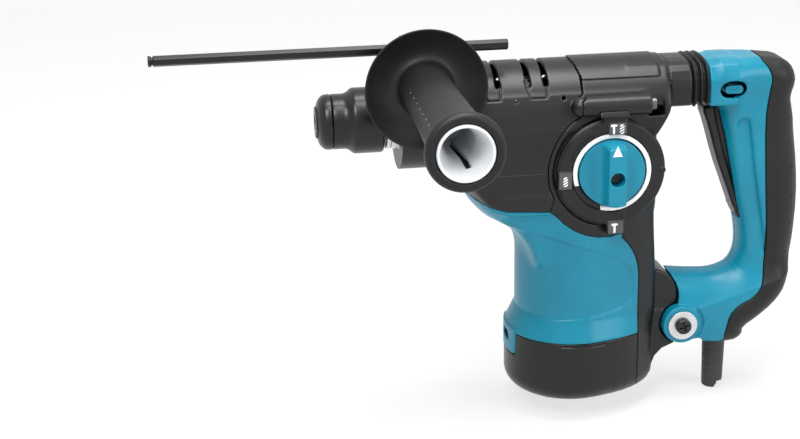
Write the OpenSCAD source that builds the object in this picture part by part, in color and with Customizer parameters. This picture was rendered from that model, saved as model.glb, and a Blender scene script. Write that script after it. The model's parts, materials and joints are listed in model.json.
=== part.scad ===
// Rotary hammer: vertical motor, round chuck, rear D-handle and a side grip on a clamp.
// Frame: +X from the nose to the rear grip, +Z up, the mode knob on the -Y side.
// The origin is on the spindle axis, at the mouth of the tool socket.

/* [Overall] */
// Nose to the back of the rear grip
tool_len = 325.5; // [315:0.5:392]
// Spindle axis to the face that the tool stands on
axis_h = 194; // [180:1:230]
// Nose to the motor axis
motor_x = 168; // [164:0.5:172]

/* [Chuck] */
// Radius of the tool socket
socket_r = 5.05; // [4:0.05:6]
// Depth of the tool socket
socket_len = 48; // [40:1:52]
// Length of the rubber nose cap
cap_len = 10.2; // [8:0.1:12]
// Radius of the nose cap and of the cover's front end
cap_r = 17.9; // [16:0.1:19]
// Radius of the chuck cover
cover_r = 21.4; // [21.2:0.1:25]
// Nose to the rear end of the chuck cover
cover_x1 = 43; // [42:0.5:45]
// Wire of the chuck spring
chuck_wire = 1.3; // [0.8:0.1:1.8]
// Diameter of the locking balls
ball_d = 6.5; // [5:0.1:7]

/* [Spindle and hammer train] */
// Outer radius of the tool holder inside the chuck
holder_r = 10; // [9:0.1:11]
// Inner radius of the air cylinder
cyl_r = 13; // [12:0.1:14]
// Wall of the air cylinder
cyl_wall = 2.5; // [2:0.1:3]
// Crank throw, half of the piston stroke
crank_throw = 10; // [8:0.5:12]
// Distance from the crank pin to the wrist pin
rod_len = 32; // [30:1:36]
// Radius of the wrist pin
wrist_pin_r = 3; // [2:0.1:4]
// Gear module of the motor pinion and its two gears
gear_m = 1.0; // [0.8:0.05:1.05]
// Clearance of a bearing's outer ring in its seat, on the radius
seat_gap = 0.02; // [0:0.01:0.04]
// Radial running clearance of shafts and pins
run_gap = 0.05; // [0.02:0.01:0.08]
// Clearance between parts that don't touch
part_gap = 0.3; // [0.2:0.05:0.5]

/* [Casing] */
// Radius of the gear case round the spindle
case_r = 34.5; // [33:0.5:38]
// Half width of the gear case at the mode knob
case_hw = 38; // [37:0.5:42]
// Wall of the casings
wall = 2.8; // [2:0.1:3.5]
// Nose to the front of the gear case
case_x0 = 84; // [84:0.5:86]
// Radius of the silver collar that the side handle clamps
collar_r = 20.5; // [20:0.1:20.8]
// Spindle axis down to the joint of the gear case and the motor casing
seam_drop = 57; // [55:1:60]

/* [Motor] */
// Radius of the motor casing
motor_r = 38.4; // [38:0.1:49]
// Radius of the base cover
base_r = 43.8; // [43:0.1:53.5]
// Height of the base cover
base_h = 44; // [38:1:48]
// Radius of the armature core
armature_r = 21; // [18:0.5:22]
// Air gap between armature and stator
air_gap = 0.6; // [0.4:0.1:0.8]
// Radius of the motor shaft
motor_shaft_r = 5; // [4.5:0.1:5]

/* [Mode knob] */
// Nose to the mode knob axis
knob_x = 186.6; // [185:0.1:188]
// Spindle axis down to the mode knob axis
knob_drop = 32.2; // [31:0.1:34]
// Radius of the mode knob disc
knob_r = 21.8; // [18:0.1:22.5]
// Outer radius of the bezel round the knob
bezel_r = 35; // [33:0.5:36]
// Depth of the knob's grip bar in front of its disc
knob_bar_h = 13; // [9:0.5:16]

/* [Rear handle] */
// Half width of the rear handle
handle_hw = 20; // [18:0.5:22]
// Wall of the handle shells
handle_wall = 2.6; // [2:0.1:3]
// Thickness of the black rubber on the rear grip
skin = 2.4; // [1.5:0.1:2.6]
// Nose to the handle's lower pivot
pivot_x = 243.7; // [242:0.1:245]
// Base face up to the handle's lower pivot
pivot_up = 43.6; // [43:0.1:45]
// Radius of the pivot bolt
pivot_r = 4; // [3:0.1:4.5]
// Radius of the silver pivot washers
washer_r = 10.1; // [8:0.1:11]
// Half width of the trigger
trigger_hw = 9; // [7:0.5:11]
// Radius of the cord hole
cord_r = 3.8; // [3:0.1:4.5]

/* [Side grip] */
// Nose to the side grip axis
grip_x = 67.2; // [67:0.1:69]
// Height of the side grip axis above the spindle axis
grip_up = 28; // [27:0.1:29]
// Length from the flange's rim to the end cap
grip_len = 140.7; // [110:0.1:170]
// Spindle axis to the plane of the flange's rim
rim_d = 42; // [41:0.5:46]
// Radius of the flange
flange_r = 39; // [30:0.5:42]
// Radius of the end cap
endcap_r = 23; // [20:0.5:26]
// Radius of the side handle bolt
bolt_r = 4; // [3:0.1:4]
// Width of the clamp along the spindle
clamp_w = 29; // [22:0.5:30]
// Outer radius of the clamp round the collar
clamp_r = 33; // [30:0.5:34]
// Height of the depth rod above the spindle axis
rod_up = 49.2; // [47:0.1:52]
// Depth rod's distance to the near side
rod_side = 15.7; // [14:0.1:18]
// Width across the flats of the depth rod
rod_flats = 6.2; // [5:0.1:7]
// Length of the depth rod
depth_rod_len = 227; // [150:1:260]

/* [Hidden] */
$fn = 96;
eps = 0.01;
big = 400;

base_z = -axis_h;
seam_z = -seam_drop;
base_top = base_z + base_h;
pivot_z = base_z + pivot_up;
knob_z = -knob_drop;
cyl_out = cyl_r + cyl_wall;

// Black, teal and metal colours of the photo
black = [0.16, 0.16, 0.17];
teal = [0.16, 0.55, 0.66];
steel = [0.62, 0.63, 0.65];
rubber = [0.1, 0.1, 0.1];

// Points on an arc, in the plane of a polygon
function arc(cx, cy, r, a0, a1, n = 12) =
    [for (i = [0 : n]) [cx + r * cos(a0 + (a1 - a0) * i / n), cy + r * sin(a0 + (a1 - a0) * i / n)]];

// A coil spring along +Z from z = 0, as one swept tube
function coil_ring(r, w, k, steps, pitch, sides) =
    let (a = 360 * k / steps)
    [for (j = [0 : sides - 1]) let (b = 360 * j / sides)
        [(r + w * cos(b)) * cos(a), (r + w * cos(b)) * sin(a), w + pitch * k / steps + w * sin(b)]];
module coil(r, wire, height, turns, steps = 18, sides = 6) {
    w = wire / 2;
    pitch = (height - wire) / turns;
    n = steps * turns;
    pts = [for (k = [0 : n]) each coil_ring(r, w, k, steps, pitch, sides)];
    polyhedron(pts, concat(
        [[for (j = [0 : sides - 1]) j]],
        [for (k = [0 : n - 1]) for (j = [0 : sides - 1])
            let (a = k * sides + j, b = k * sides + (j + 1) % sides)
            [a, a + sides, b + sides, b]],
        [[for (j = [sides - 1 : -1 : 0]) n * sides + j]]));
}

module xcyl(r, x0, x1, y = 0, z = 0, r2 = undef)
    translate([x0, y, z]) rotate([0, 90, 0]) cylinder(h = x1 - x0, r1 = r, r2 = is_undef(r2) ? r : r2);
module ycyl(r, y0, y1, x = 0, z = 0)
    translate([x, y1, z]) rotate([90, 0, 0]) cylinder(h = y1 - y0, r = r);
module zcyl(r, z0, z1, x = 0, y = 0) translate([x, y, z0]) cylinder(h = z1 - z0, r = r);
module box(x0, x1, y0, y1, z0, z1) translate([x0, y0, z0]) cube([x1 - x0, y1 - y0, z1 - z0]);
// A polygon in the XZ plane, extruded along Y
module side_plate(pts, y0, y1) translate([0, y1, 0]) rotate([90, 0, 0]) linear_extrude(y1 - y0) polygon(pts);
// A polygon in the YZ plane, extruded along X
module front_plate(pts, x0, x1)
    translate([x0, 0, 0]) rotate([90, 0, 90]) linear_extrude(x1 - x0) polygon(pts);
// A profile of (x, radius) points, turned round the X axis
module x_turned(pts, y = 0, z = 0)
    translate([0, y, z]) rotate([0, 90, 0]) rotate_extrude() polygon([for (p = pts) [p[1], p[0]]]);
// A profile of (distance towards the viewer, radius) points, turned round the side grip axis
module grip_turned(pts)
    translate([grip_x, 0, grip_up]) rotate([90, 0, 0]) rotate_extrude() polygon([for (p = pts) [p[1], p[0]]]);

// ---------------------------------------------------------------- gears
function involute(rb, r) = let (t = sqrt(max(r * r / (rb * rb) - 1, 0))) t * 180 / PI - atan(t);
// One tooth's outline, centred on the angle a, from root to tip and back
function tooth(m, teeth, a, backlash) =
    let (rp = m * teeth / 2, rb = rp * cos(20), ra = rp + 0.85 * m, rf = rp - 1.25 * m,
         half = 90 / teeth - backlash * 90 / PI / rp + involute(rb, rp),
         rs = [max(rb, rf), (max(rb, rf) + rp) / 2, rp, (rp + ra) / 2, ra],
         right = [for (r = rs) [r, a - half + involute(rb, r)]],
         left = [for (i = [4 : -1 : 0]) [rs[i], a + half - involute(rb, rs[i])]])
    [for (p = concat([[rf, a - half - 1]], right, left, [[rf, a + half + 1]]))
        [p[0] * cos(p[1]), p[0] * sin(p[1])]];
module spur(m, teeth, h, phase = 0, backlash = 0.3)
    linear_extrude(h)
        polygon([for (i = [0 : teeth - 1]) each tooth(m, teeth, phase + 360 * i / teeth, backlash)]);

pinion_teeth = 11;
crank_teeth = 36;
inter_teeth = 30;
crank_x = motor_x + gear_m * (pinion_teeth + crank_teeth) / 2;
inter_x = motor_x - gear_m * (pinion_teeth + inter_teeth) / 2;
gear_z0 = -46;
gear_h = 8;
bevel_small = 10;
bevel_large = 30;
bevel_m = 1.55;
bevel_cone = bevel_m / 2 * sqrt(bevel_small * bevel_small + bevel_large * bevel_large);
bevel_face = 6;

// A straight bevel gear on the Z axis with its apex at the origin and its back at -Z
module bevel(teeth, mate, phase) {
    a = atan(teeth / mate);
    back = bevel_cone;
    ratio = (back - bevel_face) / back;
    rise = 0.75 * bevel_m;
    drop = 1.05 * bevel_m;
    w = bevel_m * PI / 2 * 0.80;
    rotate_extrude() polygon([for (p = [[back, -drop], [back - bevel_face, -drop * ratio],
        [back - bevel_face, -drop * ratio - 2.2], [back, -drop - 2.2]])
        [p[0] * sin(a) + p[1] * cos(a), -p[0] * cos(a) + p[1] * sin(a)]]);
    for (i = [0 : teeth - 1]) rotate([0, 0, phase + 360 * i / teeth])
        rotate([0, 180 - a, 0]) translate([0, 0, back]) rotate([180, 0, 0])
            linear_extrude(bevel_face, scale = ratio) bevel_tooth(rise, drop, w);
}
// The tooth's section: the tip points away from the cone
module bevel_tooth(rise, drop, w)
    polygon([[-rise, -w / 2 + rise * 0.36], [drop + 0.3, -w / 2 - drop * 0.36],
        [drop + 0.3, w / 2 + drop * 0.36], [-rise, w / 2 - rise * 0.36]]);

// ---------------------------------------------------------------- outlines
// A counter-clockwise outline moved inwards by t
function unit(v) = v / norm(v);
function inward(a, b) = let (d = unit(b - a)) [-d[1], d[0]];
function inset(pts, t) = [for (i = [0 : len(pts) - 1])
    let (n = len(pts), p = pts[i], a = inward(pts[(i + n - 1) % n], p), b = inward(p, pts[(i + 1) % n]))
    p + t * (a + b) / (1 + a * b)];

case_x1 = 222;          // flat rear wall of the gear case
cover_x2 = 228;         // rear end of its round top
neck_x1 = 244;          // rear end of the neck that carries the bellows
bellows_x1 = 256;
neck_hw = 24;
neck_top = 32.5;
neck_z0 = 2.5;
split_x = knob_x - 23;  // joint of the front housing and the rear housing, at the top
rear_x = 210;           // joint of the motor casing and the rear housing
boss_r = 6.5;           // screw tubes along the gear case
boss_y = case_hw;
boss_z = 11;
boss_x1 = 212;
arm_z = pivot_z + 19.4; // bulge of the rear housing that the handle wraps
arm_x = pivot_x - 22.7;
arm_r = 20.5;
arm_hw = 17;
lug_hw = 13.6;
sleeve_r = 6;           // bushing of the handle's pivot
ear_y0 = lug_hw + 0.7;

case_outline = [[case_hw - 10, 20], [10 - case_hw, 20], [-case_hw, -8], [-case_hw, seam_z - 3],
    [case_hw, seam_z - 3], [case_hw, -8]];
// Plan of the gear case: its flanks run in towards the rear wall
case_plan = [[60, -60], [179, -60], [case_x1 + 1, -21], [case_x1 + 1, 21], [179, 60], [60, 60]];
// Side view of its round top: the lower rear edge slopes forwards
cover_side = [[60, -60], [212, -60], [212, -30], [cover_x2 + 1, -1], [cover_x2 + 1, 60], [60, 60]];
neck_outline = concat(arc(neck_hw - 14, neck_top - 14, 14, 0, 90, 8),
    arc(14 - neck_hw, neck_top - 14, 14, 90, 180, 8),
    [[-neck_hw, neck_z0], [neck_hw, neck_z0]]);
casing_x = motor_x + 1.5; // axis of the motor casing
motor_plan = [[casing_x, -motor_r], [205, -32], [case_x1, -23], [case_x1, 23], [205, 32],
    [casing_x, motor_r]];
base_x = casing_x - 0.5;
base_round = 13;        // rounding of the base cover's bottom edge
base_plan = [[base_x, -base_r], [207, -35], [case_x1 + 1, -23], [case_x1 + 1, 23], [207, 35],
    [base_x, base_r]];

// Everything in front of this turned outline is cut away: it shapes the front of the casings
module front_limit(t)
    x_turned([[case_x0 + t, 0], [case_x0 + t, 26 - t], [96 + t / 2, 51.5 - t], [109 + t / 2, 66 - t],
        [121 + t / 2, 75 - t], [130 + t / 2, 86 - t],
        [160, 300], [case_x1 + big / 2, 300], [case_x1 + big / 2, 0]]);
// The whole main casing as one block, smaller by t all round
module casing(t) {
    intersection() {
        front_limit(t);
        union() {
            intersection() {
                front_plate(inset(case_outline, t), case_x0, case_x1 - t);
                translate([0, 0, -big / 2]) linear_extrude(big) polygon(inset(case_plan, t));
            }
            intersection() {
                xcyl(case_r - t, case_x0, cover_x2 - t);
                side_plate(inset(cover_side, t), -big, big);
            }
            box(100, motor_x, t - 33, 33 - t, -92, seam_z);
        }
    }
    front_plate(inset(neck_outline, t), case_x1 - 20, neck_x1 - t);
    zcyl(motor_r - t, base_top - eps, seam_z, casing_x);
    translate([0, 0, base_z + 30]) linear_extrude(seam_z - base_z - 30) polygon(inset(motor_plan, t));
    translate([base_x, 0, base_top]) cylinder(h = 11, r1 = base_r - t, r2 = motor_r - 2 - t);
    translate([base_x, 0, base_z + t]) rotate_extrude()
        polygon(concat([[0, 0]], arc(base_r - base_round, base_round - t, base_round - t, -90, 0, 8),
            [[base_r - t, base_h - t + eps], [0, base_h - t + eps]]));
    intersection() {
        translate([0, 0, base_z + t]) linear_extrude(base_h + 5 - 2 * t) polygon(inset(base_plan, t));
        front_plate([[-30, base_z], [30, base_z], [38, base_z + 3], [44, base_z + 12], [44, base_top + 10],
            [-44, base_top + 10], [-44, base_z + 12], [-38, base_z + 3]], base_x, case_x1 + 5);
        side_plate([[base_x, base_z], [case_x1 - 10, base_z], [case_x1 - t, base_z + 10],
            [case_x1 + 1.5 - t, base_z + 19], [case_x1 + 1.5 - t, base_top + 10], [base_x, base_top + 10]],
            -big, big);
    }
    ycyl(arm_r - t, t - arm_hw, arm_hw - t, arm_x, arm_z);
}
module casing_shell() difference() {
    casing(0);
    casing(wall);
}
// Joint lines of the casings, seen from the side
around_knob = arc(knob_x, knob_z, 41, 118, 205, 8);
under_knob = arc(knob_x, knob_z, 46, 218, 283, 6);
teal_corner = arc(rear_x - 40, -110, 40, 48, 0, 5);
front_bottom = [[147, seam_z - 1], [119, seam_z + 1], [106, seam_z + 5], [94, seam_z + 10], [80,
    seam_z + 17]];
front_region = concat([[80, 60], [80, seam_z + 17]], [for (i = [3 : -1 : 0]) front_bottom[i]],
    [for (i = [8 : -1 : 0]) around_knob[i]], [[split_x + 2.6, 10], [split_x, 60]]);
motor_region = concat(front_bottom, [[80, base_top], [rear_x, base_top]],
    [for (i = [5 : -1 : 0]) teal_corner[i]], [for (i = [6 : -1 : 0]) under_knob[i]]);
rear_region = concat([[split_x, 60], [split_x + 2.6, 10]], around_knob, [front_bottom[0]], under_knob,
    teal_corner,
    [[rear_x, base_z - 10], [300, base_z - 10], [300, 60]]);
base_region = [[80, base_z - 10], [rear_x, base_z - 10], [rear_x, base_top], [80, base_top]];

// ---------------------------------------------------------------- handle outline
top_z = 31.5;
cord_x = 273.5;
cord_z = base_z + 27;
back = tool_len;
hand_top = 3;
// Side view of the rear handle, counter-clockwise from under the pivot arm
handle_outline = concat(
    [[pivot_x - 3, base_z + 30.2], [pivot_x + 12, base_z + 33], [cord_x - 13, cord_z + 2],
     [cord_x - 11, cord_z], [cord_x + 12, cord_z], [cord_x + 15.5, cord_z + 3],
     [back - 35, base_z + 36], [back - 16, base_z + 47.5], [back - 8, base_z + 58],
     [back - 5, base_z + 68], [back - 2.8, base_z + 80], [back - 1, base_z + 104],
     [back, -68], [back - 1.5, -45], [back - 5.8, -15], [back - 10, 0], [back - 10, 5], [back - 7.4, 13.5], [back - 8.2, 19.5],
     [back - 12.5, 24.8], [back - 19, 28.6], [back - 28, 30.6], [back - 35, top_z],
     [bellows_x1, top_z], [bellows_x1, hand_top], [266, 2], [270, -20], [276.5, -48], [281.8, -71.5],
     [284.2, -79], [287.5, -90], [286.6, base_z + 92], [283, base_z + 83], [276, base_z + 77.3],
     [265, base_z + 75.5]],
    arc(arm_x, arm_z, arm_r + 1.5, 34.5, -45, 6));
handle_plan = concat([[pivot_x - 15, -22], [back - 26, -handle_hw], [back - 12, -handle_hw + 3],
    [back - 4, -10], [back, -4],
    [back, 4], [back - 4, 10], [back - 12, handle_hw - 3], [back - 26, handle_hw], [pivot_x - 15, 22]]);
handle_end = concat(arc(handle_hw - 14, top_z - 14, 14, 0, 90, 8), arc(14 - handle_hw, top_z - 14, 14,
    90, 180, 8),
    [[-handle_hw, 0], [-22, -30], [-22, base_z + 5], [22, base_z + 5], [22, -30], [handle_hw, 0]]);
module handle_solid(t) {
    intersection() {
        side_plate(inset(handle_outline, t), -big, big);
        translate([0, 0, -big]) linear_extrude(2 * big) polygon(inset(handle_plan, t));
        front_plate(inset(handle_end, t), 200, back + 10);
    }
}
// The part of the handle that the black rubber covers
skin_region = concat([[292.5, 60], [292.5, 31], [297, 25], [299, 18], [297, 8], [295.5, -10], [298,
    -50], [301, -93],
    [300, base_z + 66], [297.5, base_z + 61], [283, base_z + 54], [277.5, base_z + 46], [275,
        base_z + 38], [271, base_z + 31],
    [263, base_z + 31], [263, base_z - 10], [big, base_z - 10], [big, 60]]);
// Screws that hold the two halves of the handle together, (x, z)
handle_screw_at = [[286.5, 22.5], [308, -12], [309, base_z + 88], [256, base_z + 66]];
ear_r = 13.3;

module handle_cuts() {
    // slot for the trigger, in the front of the grip and under the top arm
    box(250, 290, -trigger_hw - part_gap - 0.2, trigger_hw + part_gap + 0.2, -80, 8);
    // room for the lug
    lug_room();
    // way in for the cord
    zcyl(9.3, cord_z - 1, cord_z + 12, cord_x);
    // hole for the spring guide
    xcyl(4.7, bellows_x1 - 1, bellows_x1 + 5, 0, guide_z);
}
module lug_room() {
    ycyl(13.5, -ear_y0, ear_y0, pivot_x, pivot_z);
    side_plate([[arm_x, base_z + 12], [pivot_x + 2, base_z + 24], [pivot_x + 14, pivot_z - 2],
        [pivot_x + 14, pivot_z + 3],
        [pivot_x + 6, pivot_z + 13.5], [arm_x + 12, arm_z + 16], [arm_x, arm_z + 16]], -ear_y0, ear_y0);
}
// One half of the handle; side is -1 for the near half and 1 for the far half
module handle_half(side) {
    difference() {
        union() {
            intersection() {
                union() {
                    difference() {
                        handle_solid(0);
                        handle_solid(handle_wall);
                        side_plate(skin_region, -big, big);
                    }
                    difference() {
                        handle_solid(skin);
                        handle_solid(skin + handle_wall);
                        side_plate([[150, 60], [288, 60], [292, -80], [292, base_z + 66], [270, base_z + 56],
                            [260, base_z + 31], [260, base_z - 10], [150, base_z - 10]], -big, big);
                    }
                    intersection() {
                        for (p = handle_screw_at) ycyl(4.5, -big, big, p[0], p[1]);
                        handle_solid(skin + 0.1);
                    }
                }
                side_box(side);
            }
            // ear round the pivot
            ear(side);
            if (side < 0) lock_bracket();
        }
        handle_cuts();
        ycyl(pivot_r + run_gap, -big, big, pivot_x, pivot_z);
        for (p = handle_screw_at) ycyl(2, -handle_hw + 5, big, p[0], p[1]);
        for (p = handle_screw_at) ycyl(4, handle_hw - 5.5, big, p[0], p[1]);
        lock_shape(part_gap, -big, -10);
    }
}
module side_box(side) if (side < 0) box(0, big, -big, 0, -big, big); else box(0, big, 0, big, -big, big);
module ear(side) {
    y0 = side < 0 ? -22 : ear_y0;
    ycyl(ear_r, y0, y0 + 22 - ear_y0, pivot_x, pivot_z);
}

// ---------------------------------------------------------------- chuck and spindle
module dust_cap() color(rubber) x_turned([[0, 7.6], [0, 10.2], [0.5, 10.6], [1.4, 10.8], [1.6, 13],
    [3.4, cap_r - 2],
    [5.4, cap_r - 0.3], [6.5, cap_r], [cap_len, cap_r], [cap_len, holder_r + part_gap / 3], [2.4,
        holder_r + part_gap / 3],
    [2.4, 7.6]]);
cover_x0 = cap_len + part_gap;
module chuck_cover() color(black) {
    flare = arc(19, cover_r + 3.5, cover_r + 3.5 - cap_r, -90, -45, 5);
    x_turned(concat([[cover_x0, holder_r + 2], [cover_x0, cap_r]], flare,
        [[25.4, cover_r - 0.2], [26.4, cover_r], [cover_x1 - 1.6, cover_r], [cover_x1, cover_r - 0.9],
         [cover_x1, collar_r - 0.6], [27, collar_r - 0.6], [23, 16.2], [14, 16.2], [14, holder_r + 2]]));
}
spring_ring_x = 31;
module chuck_spring() color(steel) translate([14.1, 0, 0]) rotate([0, 90, 0])
    coil(13.6, chuck_wire, spring_ring_x - 14.2, 4);
ball_x = 18;
ball_at = socket_r + ball_d / 2 + run_gap;
module locking_balls() color(steel) for (s = [-1, 1]) translate([ball_x, 0,
    s * ball_at]) sphere(d = ball_d, $fn = 48);
cyl_x0 = 60;
cyl_x1 = crank_x - crank_throw - 9.5;
bolt_x0 = socket_len + 4;
module tool_holder() color(steel) difference() {
    union() {
        x_turned([[0, 0], [0, 7.3], [2.5, 7.3], [2.5, holder_r], [cyl_x0, holder_r], [cyl_x0, cyl_out],
            [cyl_x1, cyl_out],
            [cyl_x1, 0]]);
        xcyl(15.6, spring_ring_x, spring_ring_x + 3);
    }
    xcyl(socket_r, -1, socket_len + 1);
    xcyl(7, socket_len, 68);
    xcyl(10.2, 66, 82);
    xcyl(cyl_r, 80, cyl_x1 + 1);
    for (s = [-1, 1]) translate([ball_x, 0, 0]) rotate([0, s > 0 ? 0 : 180, 0])
        cylinder(h = 20, r = ball_d / 2 + run_gap);
    for (a = [0, 180]) rotate([a, 0, 0]) xcyl(1, 88, 89.5, 0, 12);
    // air holes of the cylinder
    for (x = [112, 118]) ycyl(1.5, -20, 20, x, 0);
}
brg_x = 72;
front_brg_r = 17.5;
rear_brg_r = 20;
module spindle_bearings() color(steel) {
    x_turned([[brg_x, cyl_out + run_gap], [brg_x, front_brg_r], [brg_x + 12, front_brg_r],
        [brg_x + 12, cyl_out + run_gap]]);
    x_turned([[100, cyl_out + run_gap], [100, rear_brg_r], [108, rear_brg_r], [108, cyl_out + run_gap]]);
}
module oil_seal() color(rubber) x_turned([[47, holder_r + run_gap], [47, 14.5], [53, 14.5], [53,
    holder_r + run_gap]]);
bevel_back = bevel_cone * cos(atan(bevel_large / bevel_small));
module bevel_gear() color(steel) difference() {
    union() {
        translate([inter_x, 0, 0]) rotate([0, 90, 0]) bevel(bevel_large, bevel_small, 0);
        x_turned([[inter_x - bevel_back - 7, cyl_out], [inter_x - bevel_back - 7, 20],
            [inter_x - bevel_back - 1.5, 20],
            [inter_x - bevel_back - 1.5, cyl_out]]);
    }
    xcyl(cyl_out, 100, 160);
}
neck_r = collar_r - 1;
module barrel_collar() color([0.78, 0.79, 0.8]) difference() {
    x_turned([[44.5, 14.5], [44.5, neck_r - 0.5], [45, neck_r], [53, neck_r], [53, collar_r],
        [case_x0 + 10, collar_r],
        [case_x0 + 10, 30.5], [98, 30.5], [98, front_brg_r + seat_gap],
        [56, front_brg_r + seat_gap], [56, 14.5]]);
    // screw holes of the mounting flange
    for (a = [45 : 90 : 315]) rotate([a, 0, 0]) xcyl(1.2, 90, 99, 0, 26);
}

// ---------------------------------------------------------------- casings
vent_x = [106, 128, 139.5];
module vents() for (s = [-1, 1]) for (x = vent_x)
    side_plate([[x, 40], [x + 1.5, 30], [x + 4.5, 23], [x + 8.5, 23], [x + 7.5, 30], [x + 5.5, 40]],
        s < 0 ? -big : 9, s < 0 ? -9 : big);
module front_housing() color(black) difference() {
    union() {
        intersection() {
            casing_shell();
            side_plate(front_region, -big, big);
        }
        // round front ends of the screw tubes
        difference() {
            intersection() {
                for (s = [-1, 1]) x_turned(concat([[split_x + 8, 0]], arc(split_x, 0, boss_r, 180, 90, 6),
                    [[split_x + 8, boss_r]]), s * boss_y, boss_z);
                side_plate(front_region, -big, big);
            }
            casing(wall - 0.1);
        }
        // seat of the rear spindle bearing
        x_turned([[101, rear_brg_r + seat_gap], [101, case_r - wall + 0.1], [107, case_r - wall + 0.1],
            [107, rear_brg_r + seat_gap]]);
    }
    xcyl(collar_r + 0.1, case_x0 - 1, case_x0 + 12);
    vents();
    for (s = [-1, 1]) xcyl(2.2, split_x - 4, split_x + 20, s * boss_y, boss_z);
}
module tube_block(r) for (s = [-1, 1]) xcyl(r, split_x - 2, boss_x1, s * boss_y, boss_z);
module rear_housing() color(black) difference() {
    union() {
        intersection() {
            casing_shell();
            side_plate(rear_region, -big, big);
        }
        intersection() {
            tube_block(boss_r);
            side_plate(rear_region, -big, big);
        }
        lug();
    }
    casing(wall - 0.1);
    for (s = [-1, 1]) xcyl(2.2, split_x - 4, boss_x1 + 1, s * boss_y, boss_z);
    for (s = [-1, 1]) ycyl(14.2, s < 0 ? -big : ear_y0 - part_gap, s < 0 ? part_gap - ear_y0 : big,
        pivot_x, pivot_z);
    ycyl(sleeve_r + run_gap, -big, big, pivot_x, pivot_z);
    ycyl(8.3, -case_hw - 10, -20, knob_x, knob_z);
    // seat of the bezel
    ycyl(bezel_r + part_gap, -big, -case_hw, knob_x, knob_z);
    xcyl(3.9, neck_x1 - 6, neck_x1 + 1, 0, guide_z);
}
module lug() {
    ycyl(11.5, -lug_hw, lug_hw, pivot_x, pivot_z);
    side_plate([[arm_x - 2, base_z + 14], [pivot_x - 3, base_z + 28.5], [pivot_x + 1, pivot_z - 11.4],
        [pivot_x + 8, pivot_z + 8],
        [arm_x + 12, arm_z + 12], [arm_x - 2, arm_z + 12]], -lug_hw, lug_hw);
}
screw_ring = motor_r - 6;
screw_angles = [62, 123, 237, 298];
module at_base_screws() for (a = screw_angles)
    translate([motor_x + screw_ring * cos(a), screw_ring * sin(a), 0]) children();
module motor_housing() color(teal) difference() {
    union() {
        intersection() {
            casing_shell();
            side_plate(motor_region, -big, big);
        }
        at_base_screws() translate([0, 0, base_top]) cylinder(h = 11, r = 5);
    }
    at_base_screws() translate([0, 0, base_top - 1]) cylinder(h = 10, r = 2);
}
floor_z = base_z + wall;
module base_cover() color(black) difference() {
    union() {
        intersection() {
            casing_shell();
            side_plate(base_region, -big, big);
        }
        zcyl(15, floor_z - 0.5, floor_z + 19, motor_x);
        at_base_screws() translate([0, 0, floor_z - 0.5]) cylinder(h = base_top - floor_z + 0.4, r = 5);
    }
    zcyl(brg_r + seat_gap, floor_z + 10, floor_z + 20, motor_x);
    zcyl(6, floor_z + 5, floor_z + 20, motor_x);
    at_base_screws() {
        translate([0, 0, base_z - 1]) cylinder(h = base_h + 2, r = 2.3);
        translate([0, 0, base_z - 1]) cylinder(h = 5, r = 4);
    }
}
brg_r = 11;             // outer radius of the motor and crank bearings
inter_brg_r = 9;
crank_shaft_r = 6;
plate_z0 = gear_z0 - 10;
plate_z1 = gear_z0 - 4;
module gear_plate() color([0.7, 0.71, 0.72]) difference() {
    union() {
        intersection() {
            casing(wall + 0.4);
            union() {
                box(case_x0, case_x1, -60, 60, plate_z0, plate_z1);
                for (s = [-1, 1]) box(crank_x + 4, crank_x + 14, s < 0 ? -case_hw : 24, s < 0 ? -24 : case_hw,
                    plate_z1 - 0.1, -23);
                box(crank_x - 13, crank_x + 14, -case_hw, case_hw, -33, -23);
            }
        }
        zcyl(14, plate_z0 - 7, plate_z1, motor_x);
        zcyl(12, plate_z0 - 5, plate_z1, inter_x);
    }
    zcyl(brg_r + seat_gap, plate_z0 - 8, plate_z0 + 1, motor_x);
    zcyl(7.4, plate_z0 - 8, plate_z1 + 1, motor_x);
    zcyl(inter_brg_r + seat_gap, plate_z0 - 6, plate_z0 + 1, inter_x);
    zcyl(6, plate_z0 - 6, plate_z1 + 1, inter_x);
    zcyl(brg_r + seat_gap, plate_z0 - 1, -20, crank_x);
    // room for the inner end of the mode knob
    box(crank_x - 14, knob_x + 9.5, -60, -17, -43, -20);
}

// ---------------------------------------------------------------- mode knob
bezel_y = -case_hw - 3.8;
tab_turn = [0, 90, 180];    // top, left and bottom tabs
module knob_ring(r, y0, y1) ycyl(r, y0, y1, knob_x, knob_z);
module mode_bezel() color(black) difference() {
    union() {
        knob_ring(bezel_r, bezel_y, -case_hw + 5);
        for (a = tab_turn) translate([knob_x, bezel_y - 0.6, knob_z]) rotate([0, -a, 0])
            translate([-8, 0, knob_r + 5.5]) cube([16, 3, 10]);
    }
    casing(-run_gap);
    tube_block(boss_r + run_gap);
    knob_ring(knob_r + 0.6, -big, 0);
    knob_ring(knob_r + 5, bezel_y - 1, bezel_y + 1.8);
}
module mode_ring() color("white") difference() {
    knob_ring(knob_r + 4.8, bezel_y - 0.2, bezel_y + 1.7);
    knob_ring(knob_r + 1, -big, 0);
    box(knob_x - big, knob_x, -big, 0, knob_z - big, knob_z);
}
knob_y = -case_hw - 5.1;
module mode_knob() color(teal) difference() {
    union() {
        knob_ring(knob_r, knob_y, -case_hw - 0.4);
        intersection() {
            knob_ring(knob_r - 0.3, knob_y - knob_bar_h, knob_y + 1);
            side_plate([[knob_x - 6.5, knob_z - 30], [knob_x + 6.5, knob_z - 30], [knob_x + 6.5, knob_z + 30],
                [knob_x - 6.5, knob_z + 30]], -big, big);
        }
    }
    knob_ring(4.6, -big, knob_y - knob_bar_h + 8);
    knob_ring(2.1, -big, 0);
}
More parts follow.
